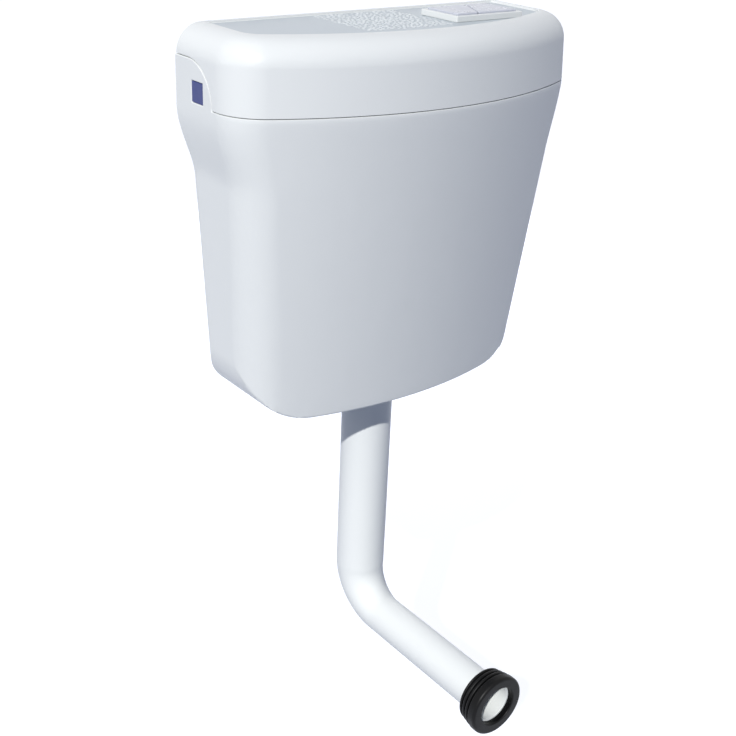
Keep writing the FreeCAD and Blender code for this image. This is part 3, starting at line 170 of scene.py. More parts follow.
def make_finishes(colours):
    """One material for each slot of the record.

    Real grains and fibres are often finer than half a millimetre, which wouldn't show: those are
    drawn as coarse as they need to be.
    """
    # Injection-moulded ABS in cool white: even, glossy, with a trace of orange peel in the highlights.
    # The floor of the tray has a spark-eroded texture, and its greyer tone is painted shade that keeps the
    # level floor darker than the lamps leave it.
    FINISHES["white_abs"] = moulded(
        "gloss_abs_cool_white", colours.shell, cloud=70, skin=2.4, lift=0.004, gloss=(0.34, 0.42),
        shift=0.02, shader={"IOR": 1.54, "Specular IOR Level": 0.2}, marked=(TRAY_SHADE_MARK, colours.tray))
    # The same ABS dyed pale lilac grey and polished by fingers: a little glossier and cloudier.
    FINISHES["pad_plastic"] = moulded(
        "gloss_abs_lilac_grey", colours.pads, cloud=18, skin=1.6, lift=0.008, gloss=(0.2, 0.34),
        shift=0.05, shader={"IOR": 1.54})
    # Soft low-density polyethylene, dyed through: waxy sheen over a deep blue.
    FINISHES["blue_plastic"] = moulded(
        "waxy_polyethylene_blue", colours.plug, cloud=6, skin=0.9, lift=0.02, gloss=(0.36, 0.5),
        shift=0.22, shader={"IOR": 1.51})
    # Compression-moulded EPDM: matt black with a grey bloom and a fine grain that catches light.
    FINISHES["black_rubber"] = moulded(
        "epdm_rubber_black", colours.rubber, cloud=9, skin=0.7, lift=0.04, gloss=(0.34, 0.5),
        shift=0.35, shader={"IOR": 1.52, "Specular IOR Level": 0.16})
    # Extruded and bent polypropylene: whiter and slightly waxier than the shells.
    FINISHES["pipe_plastic"] = moulded(
        "bent_polypropylene_white", colours.pipe, cloud=45, skin=1.8, lift=0.004, gloss=(0.36, 0.46),
        shift=0.02, shader={"IOR": 1.49, "Specular IOR Level": 0.2})
    # Moulded acetal: dense off-white with a dry, even sheen.
    FINISHES["valve_plastic"] = moulded(
        "acetal_off_white", colours.valve, cloud=20, skin=0.8, lift=0.012, gloss=(0.34, 0.46),
        shift=0.07, shader={"IOR": 1.48})
    # Undyed polypropylene: milky, light goes a little way in and softens every shadow.
    FINISHES["natural_plastic"] = moulded(
        "natural_polypropylene", colours.natural, cloud=16, skin=1.0, lift=0.015, gloss=(0.34, 0.5),
        shift=0.08, shader={
            "IOR": 1.49, "Subsurface Weight": 0.25, "Subsurface Radius": (1.0, 0.9, 0.7),
            "Subsurface Scale": 2 * MM})
    # Dyed nylon levers: slate blue, satin, with knit lines left by the mould.
    FINISHES["lever_plastic"] = moulded(
        "dyed_nylon_slate_blue", colours.levers, cloud=12, skin=0.8, lift=0.02, gloss=(0.34, 0.5),
        shift=0.2, shader={"IOR": 1.53})
    # Glass-filled nylon nuts: pale grey, matt, speckled by the fibres in the skin.
    FINISHES["nut_plastic"] = moulded(
        "glass_filled_nylon_grey", colours.nuts, cloud=4, skin=0.5, lift=0.03, gloss=(0.42, 0.58),
        shift=0.14, shader={"IOR": 1.53})
    # Drawn stainless spring wire: bright, with its highlight broken into streaks.
    FINISHES["steel"] = drawn_wire("drawn_stainless_wire", colours.steel)


# Meshes

def merged_copy(node):
    """A node's surface with its corners merged and its flat areas freed of triangles."""
    shape = bmesh.new()
    shape.from_mesh(frame["nodes"][node].data)
    bmesh.ops.remove_doubles(shape, verts=shape.verts, dist=SAME_POINT)
    bmesh.ops.dissolve_limit(shape, angle_limit=FLAT, verts=shape.verts, edges=shape.edges)
    return shape


def round_edges(shape, width, segments=2, wanted=None):
    """Round the hard edges of a shape, or those of them that are wanted."""
    picked = []
    for edge in shape.edges:
        if edge.is_manifold and edge.calc_face_angle() > HARD:
            if wanted is None or wanted(edge):
                picked.append(edge)
    bmesh.ops.bevel(
        shape, geom=picked, offset=width, offset_type="OFFSET", segments=segments, profile=0.5,
        affect="EDGES", clamp_overlap=False, loop_slide=True)


def plain_mesh(shape, name):
    """Close a shape into a mesh that is smooth up to the crease angle."""
    for face in shape.faces:
        face.smooth = True
    for edge in shape.edges:
        edge.smooth = edge.is_manifold and edge.calc_face_angle() < CREASE
    mesh = bpy.data.meshes.new(name)
    shape.to_mesh(mesh)
    shape.free()
    return mesh


def keep_inside(mesh, node):
    """Bring points that a rounding has thrown past a node's box back to it."""
    low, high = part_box(node)
    for vert in mesh.vertices:
        vert.co = [min(max(at, least), most) for at, least, most in zip(vert.co, low, high)]


def lead_by_area(piece):
    """Let the large faces lead the shading at each corner, so that flat walls look flat."""
    lead = piece.modifiers.new("lead", "WEIGHTED_NORMAL")
    lead.keep_sharp = True
    graph = bpy.context.evaluated_depsgraph_get()
    mesh = bpy.data.meshes.new_from_object(piece.evaluated_get(graph))
    piece.modifiers.remove(lead)
    mesh.name = piece.name
    piece.data = mesh


def put(name, mesh, *nodes, body=None, slot=None):
    """Put a mesh in the scene: it rides with its nodes' body, wears their finish and stands for them."""
    for node in nodes:
        keep_inside(mesh, node)
    piece = bpy.data.objects.new(name, mesh)
    bpy.context.scene.collection.objects.link(piece)
    slot = slot or SLOT_OF[nodes[0]]
    mesh.materials.clear()
    mesh.materials.append(FINISHES[slot])
    if nodes:
        lead_by_area(piece)
    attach(piece, body or BODY_OF[nodes[0]])
    if nodes:
        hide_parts(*nodes)
    return piece


def soften(node, width, segments=2):
    """Stand a copy with rounded edges in for a node."""
    shape = merged_copy(node)
    round_edges(shape, width, segments)
    return put(node + "_moulded", plain_mesh(shape, node + "_moulded"), node)


def paint_tray_shade(mesh, share):
    """Write down for each face its share of the tray's painted shade, which the shells' finish reads."""
    marks = mesh.attributes.new(TRAY_SHADE_MARK, "FLOAT", "FACE")
    for mark, face in zip(marks.data, mesh.polygons):
        mark.value = float(share(face))


def rounded(middle, radius, start, end, steps=5):
    """Points along an arc of a turned outline, in degrees from straight out."""
    points = []
    for step in range(steps + 1):
        angle = math.radians(start + (end - start) * step / steps)
        points.append((
            middle[0] + radius * math.cos(angle), middle[1] + radius * math.sin(angle)))
    return points


def turn(shape, outline, steps, place):
    """Turn a closed outline of radius and length round an axis."""
    rings = []
    for step in range(steps):
        angle = 2 * math.pi * step / steps
        rings.append([shape.verts.new(place(r, s, angle)) for r, s in outline])
    for step in range(steps):
        one, two = rings[step], rings[(step + 1) % steps]
        for at in range(len(outline)):
            after = (at + 1) % len(outline)
            shape.faces.new((one[at], one[after], two[after], two[at]))
    bmesh.ops.recalc_face_normals(shape, faces=shape.faces)


# Geometry trees

def open_tree(name, inputs):
    """A geometry tree with named inputs, and the node that hands them out."""
    tree = bpy.data.node_groups.new(name, "GeometryNodeTree")
    tree.interface.new_socket("Geometry", in_out="INPUT", socket_type="NodeSocketGeometry")
    for label, kind in inputs.items():
        tree.interface.new_socket(label, in_out="INPUT", socket_type="NodeSocket" + kind)
    tree.interface.new_socket("Geometry", in_out="OUTPUT", socket_type="NodeSocketGeometry")
    return tree, add(tree, "NodeGroupInput").outputs


def close_tree(tree, geometry, slot):
    """Make the grown geometry real, smooth and finished."""
    real = add(tree, "GeometryNodeRealizeInstances", {"Geometry": geometry})
    smooth = add(tree, "GeometryNodeSetShadeSmooth", {"Geometry": real.outputs["Geometry"]})
    finished = add(tree, "GeometryNodeSetMaterial", {
        "Geometry": smooth.outputs["Geometry"], "Material": FINISHES[slot]})
    add(tree, "NodeGroupOutput", {"Geometry": finished.outputs["Geometry"]})
    return tree


def grow(name, start, tree, sizes, finish=None):
    """Run a tree on a start shape and hand back the plain mesh that it makes."""
    carrier = bpy.data.objects.new(name + "_start", start)
    bpy.context.scene.collection.objects.link(carrier)
    modifier = carrier.modifiers.new(tree.name, "NODES")
    modifier.node_group = tree
    for item in tree.interface.items_tree:
        if item.in_out == "INPUT" and item.name in sizes:
            modifier[item.identifier] = sizes[item.name]
    if finish:
        finish(carrier)
    bpy.context.view_layer.update()
    graph = bpy.context.evaluated_depsgraph_get()
    mesh = bpy.data.meshes.new_from_object(carrier.evaluated_get(graph))
    mesh.name = name
    bpy.data.objects.remove(carrier)
    return mesh


def coil_tree(slot):
    """A round wire wound on a cylinder, turned and moved into place: a spring or a thread's crest."""
    tree, given = open_tree("wound_coil", {
        "Turns": "Float", "Coil Radius": "Float", "Wire Radius": "Float", "Length": "Float",
        "Turn": "Rotation", "Foot": "Vector", "Steps": "Int"})
    line = add(tree, "GeometryNodeCurveSpiral", {
        "Resolution": given["Steps"], "Rotations": given["Turns"],
        "Start Radius": given["Coil Radius"], "End Radius": given["Coil Radius"],
        "Height": given["Length"]})
    wire = add(tree, "GeometryNodeCurvePrimitiveCircle", {
        "Resolution": 12, "Radius": given["Wire Radius"]})
    skin = add(tree, "GeometryNodeCurveToMesh", {
        "Curve": line.outputs["Curve"], "Profile Curve": wire.outputs["Curve"], "Fill Caps": True})
    placed = add(tree, "GeometryNodeTransform", {
        "Geometry": skin.outputs["Mesh"], "Translation": given["Foot"], "Rotation": given["Turn"]})
    return close_tree(tree, placed.outputs["Geometry"], slot)


def rib_tree(slot):
    """Round ribs in a row along -Y, each larger than the one before it by a share of the first."""
    tree, given = open_tree("rib_row", {
        "Ribs": "Int", "Rib Radius": "Float", "Rib Round": "Float", "Pitch": "Vector",
        "First": "Vector", "Growth": "Float"})
    row = add(tree, "GeometryNodeMeshLine", {
        "Count": given["Ribs"], "Start Location": given["First"], "Offset": given["Pitch"]},
        mode="OFFSET")
    hoop = add(tree, "GeometryNodeCurvePrimitiveCircle", {
        "Resolution": 112, "Radius": given["Rib Radius"]})
    section = add(tree, "GeometryNodeCurvePrimitiveCircle", {
        "Resolution": 16, "Radius": given["Rib Round"]})
    rib = add(tree, "GeometryNodeCurveToMesh", {
        "Curve": hoop.outputs["Curve"], "Profile Curve": section.outputs["Curve"]})
    place = add(tree, "GeometryNodeInputIndex")
    size = add(tree, "ShaderNodeMath", {
        0: place.outputs["Index"], 1: given["Growth"], 2: 1.0}, operation="MULTIPLY_ADD")
    ribs = add(tree, "GeometryNodeInstanceOnPoints", {
        "Points": row.outputs["Mesh"], "Instance": rib.outputs["Mesh"],
        "Rotation": (math.pi / 2, 0, 0), "Scale": size.outputs["Value"]})
    return close_tree(tree, ribs.outputs["Instances"], slot)


def pebble_tree(slot):
    """Low domes scattered over a panel, none nearer to another than the pitch."""
    tree, given = open_tree("pebble_field", {
        "Pitch": "Float", "Dome Radius": "Float", "Dome Height": "Float", "Seed": "Int"})
    points = add(tree, "GeometryNodeDistributePointsOnFaces", {
        "Mesh": given["Geometry"], "Distance Min": given["Pitch"], "Density Max": 200000.0,
        "Seed": given["Seed"]}, distribute_method="POISSON")
    dome = add(tree, "GeometryNodeMeshUVSphere", {"Segments": 10, "Rings": 6, "Radius": 1.0})
    spread = add(tree, "FunctionNodeRandomValue", {2: 0.7, 3: 1.15, "Seed": given["Seed"]})
    form = add(tree, "ShaderNodeCombineXYZ", {
        "X": given["Dome Radius"], "Y": given["Dome Radius"], "Z": given["Dome Height"]})
    size = add(tree, "ShaderNodeVectorMath", {
        0: form.outputs["Vector"], "Scale": spread.outputs[1]}, operation="SCALE")
    domes = add(tree, "GeometryNodeInstanceOnPoints", {
        "Points": points.outputs["Points"], "Instance": dome.outputs["Mesh"],
        "Scale": size.outputs["Vector"]})
    return close_tree(tree, domes.outputs["Instances"], slot)


def bend_tree(slot):
    """A pipe skin along a cornered path: the corner is rounded and the pipe narrows round it."""
    tree, given = open_tree("flush_bend", {
        "Bend Radius": "Float", "Upper Radius": "Float", "Lower Radius": "Float",
        "Bend Start": "Float", "Bend End": "Float", "Ring Step": "Float"})
    path = add(tree, "GeometryNodeFilletCurve", {
        "Curve": given["Geometry"], "Radius": given["Bend Radius"], "Count": 48}, mode="POLY")
    along = add(tree, "GeometryNodeResampleCurve", {
        "Curve": path.outputs["Curve"], "Length": given["Ring Step"]}, mode="LENGTH")
    where = add(tree, "GeometryNodeSplineParameter")
    radius = add(tree, "ShaderNodeMapRange", {
        "Value": where.outputs["Length"], "From Min": given["Bend Start"],
        "From Max": given["Bend End"], "To Min": given["Upper Radius"],
        "To Max": given["Lower Radius"]})
    hoop = add(tree, "GeometryNodeCurvePrimitiveCircle", {"Resolution": 72, "Radius": 1.0})
    skin = add(tree, "GeometryNodeCurveToMesh", {
        "Curve": along.outputs["Curve"], "Profile Curve": hoop.outputs["Curve"],
        "Scale": radius.outputs["Result"]})
    return close_tree(tree, skin.outputs["Mesh"], slot)


# Sizes, colours and stage settings

class CISTERN_PG_sizes(bpy.types.PropertyGroup):
    """Sizes of the details that are added to the CAD shapes."""

    base_round: bpy.props.FloatProperty(
        name="Base rounding", description="Rounding of the tank's bottom edges",
        default=2.5 * MM, min=0.2 * MM, max=6 * MM, unit="LENGTH", precision=5)
    rim_round: bpy.props.FloatProperty(
        name="Rim rounding", description="Rounding of the edges along the parting line and the ears",
        default=0.9 * MM, min=0.1 * MM, max=2 * MM, unit="LENGTH", precision=5)
    lid_round: bpy.props.FloatProperty(
        name="Lid rounding", description="Rounding of the lid's lower edge and tray",
        default=0.5 * MM, min=0.1 * MM, max=0.8 * MM, unit="LENGTH", precision=5)
    pad_round: bpy.props.FloatProperty(
        name="Pad rounding", description="Rounding of the push pads and their frame",
        default=0.9 * MM, min=0.1 * MM, max=1.5 * MM, unit="LENGTH", precision=5)
    trim_round: bpy.props.FloatProperty(
        name="Trim rounding", description="Rounding of the valve parts inside the tank",
        default=0.35 * MM, min=0.05 * MM, max=1 * MM, unit="LENGTH", precision=5)
    pebble_pitch: bpy.props.FloatProperty(
        name="Pebble pitch", description="Least distance between two pebbles in the tray",
        default=3.2 * MM, min=1.5 * MM, max=10 * MM, unit="LENGTH", precision=5)
    pebble_radius: bpy.props.FloatProperty(
        name="Pebble radius", description="Radius of a middling pebble",
        default=1.7 * MM, min=0.5 * MM, max=5 * MM, unit="LENGTH", precision=5)
    pebble_height: bpy.props.FloatProperty(
        name="Pebble height", description="Height of a middling pebble",
        default=0.6 * MM, min=0.1 * MM, max=1.6 * MM, unit="LENGTH", precision=5)
    pebble_seed: bpy.props.IntProperty(
        name="Pebble seed", description="Number that fixes where the pebbles lie", default=7, min=0)
    cone_ribs: bpy.props.IntProperty(
        name="Cone ribs", description="Number of fine ribs round the pan cone", default=3, min=1, max=8)
    cone_back: bpy.props.FloatProperty(
        name="Cone back", description="Radius over the rearmost rib of the pan cone",
        default=28 * MM, min=24 * MM, max=31 * MM, unit="LENGTH", precision=5)
    cone_ring: bpy.props.FloatProperty(
        name="Cone ring", description="Length of the smooth ring at the front of the pan cone",
        default=9 * MM, min=5 * MM, max=15 * MM, unit="LENGTH", precision=5)
    rib_round: bpy.props.FloatProperty(
        name="Rib rounding", description="Radius of a rib's round section",
        default=1.4 * MM, min=0.5 * MM, max=3 * MM, unit="LENGTH", precision=5)
    pipe_wall: bpy.props.FloatProperty(
        name="Pipe wall", description="Wall thickness of the flush bend",
        default=2 * MM, min=0.5 * MM, max=4 * MM, unit="LENGTH", precision=5)
    spring_turns: bpy.props.IntProperty(
        name="Spring turns", description="Number of turns of a return spring", default=6, min=2, max=12)
    thread_pitch: bpy.props.FloatProperty(
        name="Thread pitch", description="Pitch of the inlet thread",
        default=1.81 * MM, min=0.5 * MM, max=4 * MM, unit="LENGTH", precision=5)


class CISTERN_PG_colours(bpy.types.PropertyGroup):
    """Colours of the finishes."""

    shell: bpy.props.FloatVectorProperty(
        name="Shells", description="Tank, lid and push plate frame", subtype="COLOR", size=4,
        min=0, max=1, default=linear("#DDDFDC"))
    pads: bpy.props.FloatVectorProperty(
        name="Pads", description="Push pads", subtype="COLOR", size=4,
        min=0, max=1, default=linear("#C3C6CE"))
    # Darker than the shells: painted shade on the lid's level tray floor.
    tray: bpy.props.FloatVectorProperty(
        name="Tray", description="Textured floor of the tray in the lid", subtype="COLOR", size=4,
        min=0, max=1, default=linear("#BBC2C5"))
    plug: bpy.props.FloatVectorProperty(
        name="Plug", description="Side inlet plug", subtype="COLOR", size=4,
        min=0, max=1, default=linear("#343F79"))
    rubber: bpy.props.FloatVectorProperty(
        name="Rubber", description="Pan cone, washers and seals", subtype="COLOR", size=4,
        min=0, max=1, default=linear("#0B0B0C"))
    pipe: bpy.props.FloatVectorProperty(
        name="Pipe", description="Flush bend", subtype="COLOR", size=4,
        min=0, max=1, default=linear("#E4E6E2"))
    valve: bpy.props.FloatVectorProperty(
        name="Valves", description="Valve bodies and cage", subtype="COLOR", size=4,
        min=0, max=1, default=linear("#D9D9D5"))
    natural: bpy.props.FloatVectorProperty(
        name="Natural", description="Floats and tubes of undyed plastic", subtype="COLOR", size=4,
        min=0, max=1, default=linear("#E2E1D8"))
    levers: bpy.props.FloatVectorProperty(
        name="Levers", description="Levers and fill valve cap", subtype="COLOR", size=4,
        min=0, max=1, default=linear("#61798F"))
    nuts: bpy.props.FloatVectorProperty(
        name="Nuts", description="Inlet and outlet nuts", subtype="COLOR", size=4,
        min=0, max=1, default=linear("#DCDCDA"))
    steel: bpy.props.FloatVectorProperty(
        name="Steel", description="Springs and pins", subtype="COLOR", size=4,
        min=0, max=1, default=linear("#C9CACB"))


class CISTERN_PG_stage(bpy.types.PropertyGroup):
    """Floor, light and camera."""

    floor_drop: bpy.props.FloatProperty(
        name="Floor drop", description="Depth of the floor under the parting line",
        default=0.93, min=0.6, max=3, unit="LENGTH")
    key: bpy.props.FloatProperty(
        name="Key light", description="Strength of the main light", default=3.36, min=0, max=10)
    key_side: bpy.props.FloatProperty(
        name="Key side", description="Angle of the main light to the left of straight ahead",
        default=math.radians(51), subtype="ANGLE")
    key_height: bpy.props.FloatProperty(
        name="Key height", description="Angle of the main light above the horizon",
        default=math.radians(38.9), subtype="ANGLE")
    fill: bpy.props.FloatProperty(
        name="Fill light", description="Strength of the even light from all round", default=0.18,
        min=0, max=3)
    left: bpy.props.FloatProperty(
        name="Left light", description="Power of the soft light on the left", default=14, min=0,
        max=500, subtype="POWER")
    rear: bpy.props.FloatProperty(
        name="Rear light", description="Power of the soft light behind, on the right", default=50, min=0,
        max=500, subtype="POWER")
    camera_place: bpy.props.FloatVectorProperty(
        name="Camera place", description="Where the camera stands", size=3, subtype="TRANSLATION",
        default=(-0.65695, -0.85292, 0.21385))
    camera_turn: bpy.props.FloatVectorProperty(
        name="Camera turn", description="Turn to the right, tilt down and roll of the camera", size=3,
        subtype="EULER", default=(math.radians(38.82), math.radians(25.13), math.radians(2.51)))
    lens: bpy.props.FloatProperty(
        name="Lens", description="Focal length for a 36 mm wide frame", default=57.31, min=10, max=300,
        unit="CAMERA")


# Floor, light and camera

def seen_directly(tree):
    """A socket that is 1 for what the camera sees, also in gloss and through glass."""
    path = add(tree, "ShaderNodeLightPath").outputs
    either = add(tree, "ShaderNodeMath", {
        0: path["Is Camera Ray"], 1: path["Is Glossy Ray"]}, operation="MAXIMUM")
    return add(tree, "ShaderNodeMath", {
        0: either.outputs[0], 1: path["Is Transmission Ray"]}, operation="MAXIMUM").outputs[0]


def lay_floor(settings):
    """A wide pale floor: its glow, which lights nothing, makes it white and keeps a light shadow."""
    reach, glow = 40, 0.85
    shape = bmesh.new()
    bmesh.ops.create_grid(shape, x_segments=8, y_segments=8, size=reach)
    for vert in shape.verts:
        vert.co.z = -settings.floor_drop
    mesh = bpy.data.meshes.new("floor")
    shape.to_mesh(mesh)
    shape.free()
    floor = bpy.data.objects.new("floor", mesh)
    bpy.context.scene.collection.objects.link(floor)
    paper = bpy.data.materials.new("matt_paper_white")
    paper.use_nodes = True
    tree = paper.node_tree
    tree.nodes.clear()
    matt = add(tree, "ShaderNodeBsdfDiffuse", {"Color": linear("#8F96A6")})
    share = add(tree, "ShaderNodeMath", {0: seen_directly(tree), 1: glow}, operation="MULTIPLY")
    white = add(tree, "ShaderNodeEmission", {
        "Color": (1, 1, 1, 1), "Strength": share.outputs["Value"]})
    both = add(tree, "ShaderNodeAddShader", {
        0: matt.outputs["BSDF"], 1: white.outputs["Emission"]})
    add(tree, "ShaderNodeOutputMaterial", {"Surface": both.outputs["Shader"]})
    mesh.materials.append(paper)


def light_stage(settings):
    """A key light from the front left, soft lights on the left and behind, and an even fill.

    The soft lights stay out of the gloss, where they would show as white bars on lid and pipe.
    """
    side, height = settings.key_side, settings.key_height
    to_key = Vector((
        -math.sin(side) * math.cos(height), -math.cos(side) * math.cos(height), math.sin(height)))
    key = bpy.data.lights.new("key", "SUN")
    key.energy = settings.key
    key.angle = math.radians(1.2)
    lamp = bpy.data.objects.new("key", key)
    lamp.rotation_euler = (-to_key).to_track_quat("-Z", "Y").to_euler()
    bpy.context.scene.collection.objects.link(lamp)

    middle = Vector((0, -0.1, -0.2))
    soft_lights = {
        "left": (settings.left, Vector((-1.9, -0.3, 1.25))),
        "rear": (settings.rear, Vector((1.4, 2.1, 0.1)))}
    wide, tall = 1.4, 1.8
    for name, (power, place) in soft_lights.items():
        panel = bpy.data.lights.new(name, "AREA")
        panel.shape = "RECTANGLE"
        panel.size = wide
        panel.size_y = tall
        panel.energy = power
        lamp = bpy.data.objects.new(name, panel)
        lamp.location = place
        lamp.visible_glossy = False
        lamp.rotation_euler = (middle - place).to_track_quat("-Z", "Y").to_euler()
        bpy.context.scene.collection.objects.link(lamp)

    world = bpy.data.worlds.new("studio")
    world.use_nodes = True
    tree = world.node_tree
    tree.nodes.clear()
    fill = add(tree, "ShaderNodeBackground", {
        "Color": linear("#8CA8F0"), "Strength": settings.fill})
    white = add(tree, "ShaderNodeBackground", {"Color": (1, 1, 1, 1), "Strength": 1.0})
    both = add(tree, "ShaderNodeMixShader", {
        0: seen_directly(tree), 1: fill.outputs["Background"], 2: white.outputs["Background"]})
    add(tree, "ShaderNodeOutputWorld", {"Surface": both.outputs["Shader"]})
    bpy.context.scene.world = world


def aim_camera(settings):
    """Stand the camera at the photograph's viewing angle."""
    turn_right, tilt, roll = settings.camera_turn
    ahead = Vector((
        math.sin(turn_right) * math.cos(tilt), math.cos(turn_right) * math.cos(tilt),
        -math.sin(tilt)))
    level = Vector((math.cos(turn_right), -math.sin(turn_right), 0))
    upright = level.cross(ahead)
    right = level * math.cos(roll) + upright * math.sin(roll)
    up = upright * math.cos(roll) - level * math.sin(roll)
    pose = Matrix((right, up, -ahead)).transposed().to_4x4()
    pose.translation = Vector(settings.camera_place)
    data = bpy.data.cameras.new("camera")
    data.sensor_width = 36
    data.lens = settings.lens
    camera = bpy.data.objects.new("camera", data)
    camera.matrix_world = pose
    bpy.context.scene.collection.objects.link(camera)
    bpy.context.scene.camera = camera


# Operators

class CISTERN_OT_finishes(bpy.types.Operator):
    """Make the materials and put them on the CAD nodes"""

    bl_idname = "cistern.finishes"
    bl_label = "Finishes"

    def execute(self, context):
        make_finishes(context.scene.cistern_colours)
        for node, piece in frame["nodes"].items():
            piece.data.materials.clear()
            piece.data.materials.append(FINISHES[SLOT_OF[node]])
        return {"FINISHED"}


class CISTERN_OT_tank(bpy.types.Operator):
    """Round the tank's edges: generously along its base, finely at its rim and openings"""

    bl_idname = "cistern.tank"
    bl_label = "Tank"

    def execute(self, context):
        sizes = context.scene.cistern_sizes
        low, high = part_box("tank")
        base_top = low.z + 100 * MM
        well, well_reach = Vector((0, -37 * MM)), 45 * MM
        wall_margin = 5 * MM
        lip_root, root_margin = -1.25 * MM, 0.2 * MM

        def middle_of(edge):
            return (edge.verts[0].co + edge.verts[1].co) / 2

        def is_base(edge):
            middle = middle_of(edge)
            clear_of_well = (middle.xy - well).length > well_reach
            clear_of_wall = middle.y < high.y - wall_margin
            return middle.z < base_top and clear_of_well and clear_of_wall and edge.is_convex

        def is_rim(edge):
            level = middle_of(edge).z
            return level > base_top and abs(level - lip_root) >= root_margin

        shape = merged_copy("tank")
        round_edges(shape, sizes.base_round, 4, is_base)
        round_edges(shape, sizes.rim_round, 2, is_rim)
        put("tank_moulded", plain_mesh(shape, "tank_moulded"), "tank")
        return {"FINISHED"}


class CISTERN_OT_lid(bpy.types.Operator):
    """Round the lid's edges and lay the pebbled panel in its tray"""

    bl_idname = "cistern.lid"
    bl_label = "Lid"

    def execute(self, context):
        sizes = context.scene.cistern_sizes
        shape = merged_copy("lid")
        round_edges(shape, sizes.lid_round, 2)
        mesh = plain_mesh(shape, "lid_moulded")
        level, level_margin, upright = 58 * MM, 0.1 * MM, 0.99

        def is_tray(face):
            return abs(face.center.z - level) < level_margin and face.normal.z > upright

        # The tray's floor takes the darker tone in full: painted shade on the level floor.
        paint_tray_shade(mesh, is_tray)
        put("lid_moulded", mesh, "lid")

        left, right, back = -55 * MM, 34 * MM, -7 * MM
        bow_middle, bow, bow_steps = 229 * MM, 319 * MM, 12
        panel = bmesh.new()
        corners = [panel.verts.new((right, back, level)), panel.verts.new((left, back, level))]
        for step in range(bow_steps + 1):
            across = left + (right - left) * step / bow_steps
            front = bow_middle - math.sqrt(bow * bow - across * across)
            corners.append(panel.verts.new((across, front, level)))
        panel.faces.new(corners)
        start = bpy.data.meshes.new("pebble_panel")
        panel.to_mesh(start)
        panel.free()
        mesh = grow("tray_pebbles", start, pebble_tree("white_abs"), {
            "Pitch": sizes.pebble_pitch, "Dome Radius": sizes.pebble_radius,
            "Dome Height": sizes.pebble_height, "Seed": sizes.pebble_seed})
        # The pebbles take half of the tray's painted shade.
        pebble_shade_share = 0.5
        paint_tray_shade(mesh, lambda face: pebble_shade_share)
        put("tray_pebbles", mesh, body="cover", slot="white_abs")
        return {"FINISHED"}


class CISTERN_OT_push_plate(bpy.types.Operator):
    """Round the push plate, its retaining frame, the two pads and their rods"""

    bl_idname = "cistern.push_plate"
    bl_label = "Push plate"

    def execute(self, context):
        sizes = context.scene.cistern_sizes
        for node in ("push_plate_housing", "full_flush_pad", "half_flush_pad"):
            soften(node, sizes.pad_round, 3)
        for node in ("housing_retainer", "full_flush_rod", "half_flush_rod"):
            soften(node, sizes.trim_round)
        return {"FINISHED"}


class CISTERN_OT_springs(bpy.types.Operator):
    """Wind the two return springs at their CAD length; the coils don't shorten as their pads go down"""

    bl_idname = "cistern.springs"
    bl_label = "Return springs"

    def execute(self, context):
        sizes = context.scene.cistern_sizes
        wire, travel, steps = 0.6 * MM, 8 * MM, 36
        tree = coil_tree("steel")
        for name in ("full_flush", "half_flush"):
            node = name + "_spring"
            low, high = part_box(node)
            middle = (low + high) / 2
            mesh = grow(node + "_coil", bpy.data.meshes.new("nothing"), tree, {
                "Turns": float(sizes.spring_turns), "Coil Radius": (high.x - low.x) / 2 - wire,
                "Wire Radius": wire, "Length": high.z - low.z - 2 * wire, "Steps": steps,
                "Foot": (middle.x, middle.y, low.z + wire)})
            coil = put(node + "_coil", mesh, node)
            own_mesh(coil)
        return {"FINISHED"}


class CISTERN_OT_flush_bend(bpy.types.Operator):
    """Draw the flush bend along its path and give it a wall"""

    bl_idname = "cistern.flush_bend"
    bl_label = "Flush bend"

    def execute(self, context):
        sizes = context.scene.cistern_sizes
        low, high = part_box("flush_pipe")
        upper, lower, bend, ring_step = 25 * MM, 20 * MM, 45 * MM, 3 * MM
        axis = high.y - upper
        drop = low.z + lower
        path = bpy.data.curves.new("bend_path", "CURVE")
        path.dimensions = "3D"
        line = path.splines.new("POLY")
        line.points.add(2)
        for point, place in zip(line.points, ((0, axis, high.z), (0, axis, drop), (0, low.y, drop))):
            point.co = (*place, 1)
        straight = high.z - drop - bend

        def give_wall(carrier):
            wall = carrier.modifiers.new("wall", "SOLIDIFY")
            wall.thickness = sizes.pipe_wall
            wall.offset = -1
            ends = carrier.modifiers.new("ends", "BEVEL")
            ends.width = sizes.trim_round
            ends.segments = 2
            ends.limit_method = "ANGLE"
            ends.angle_limit = HARD

        mesh = grow("flush_bend", path, bend_tree("pipe_plastic"), {
            "Bend Radius": bend, "Upper Radius": upper, "Lower Radius": lower,
            "Bend Start": straight, "Bend End": straight + math.pi / 2 * bend,
            "Ring Step": ring_step}, give_wall)
        put("flush_bend", mesh, "flush_pipe")
        return {"FINISHED"}


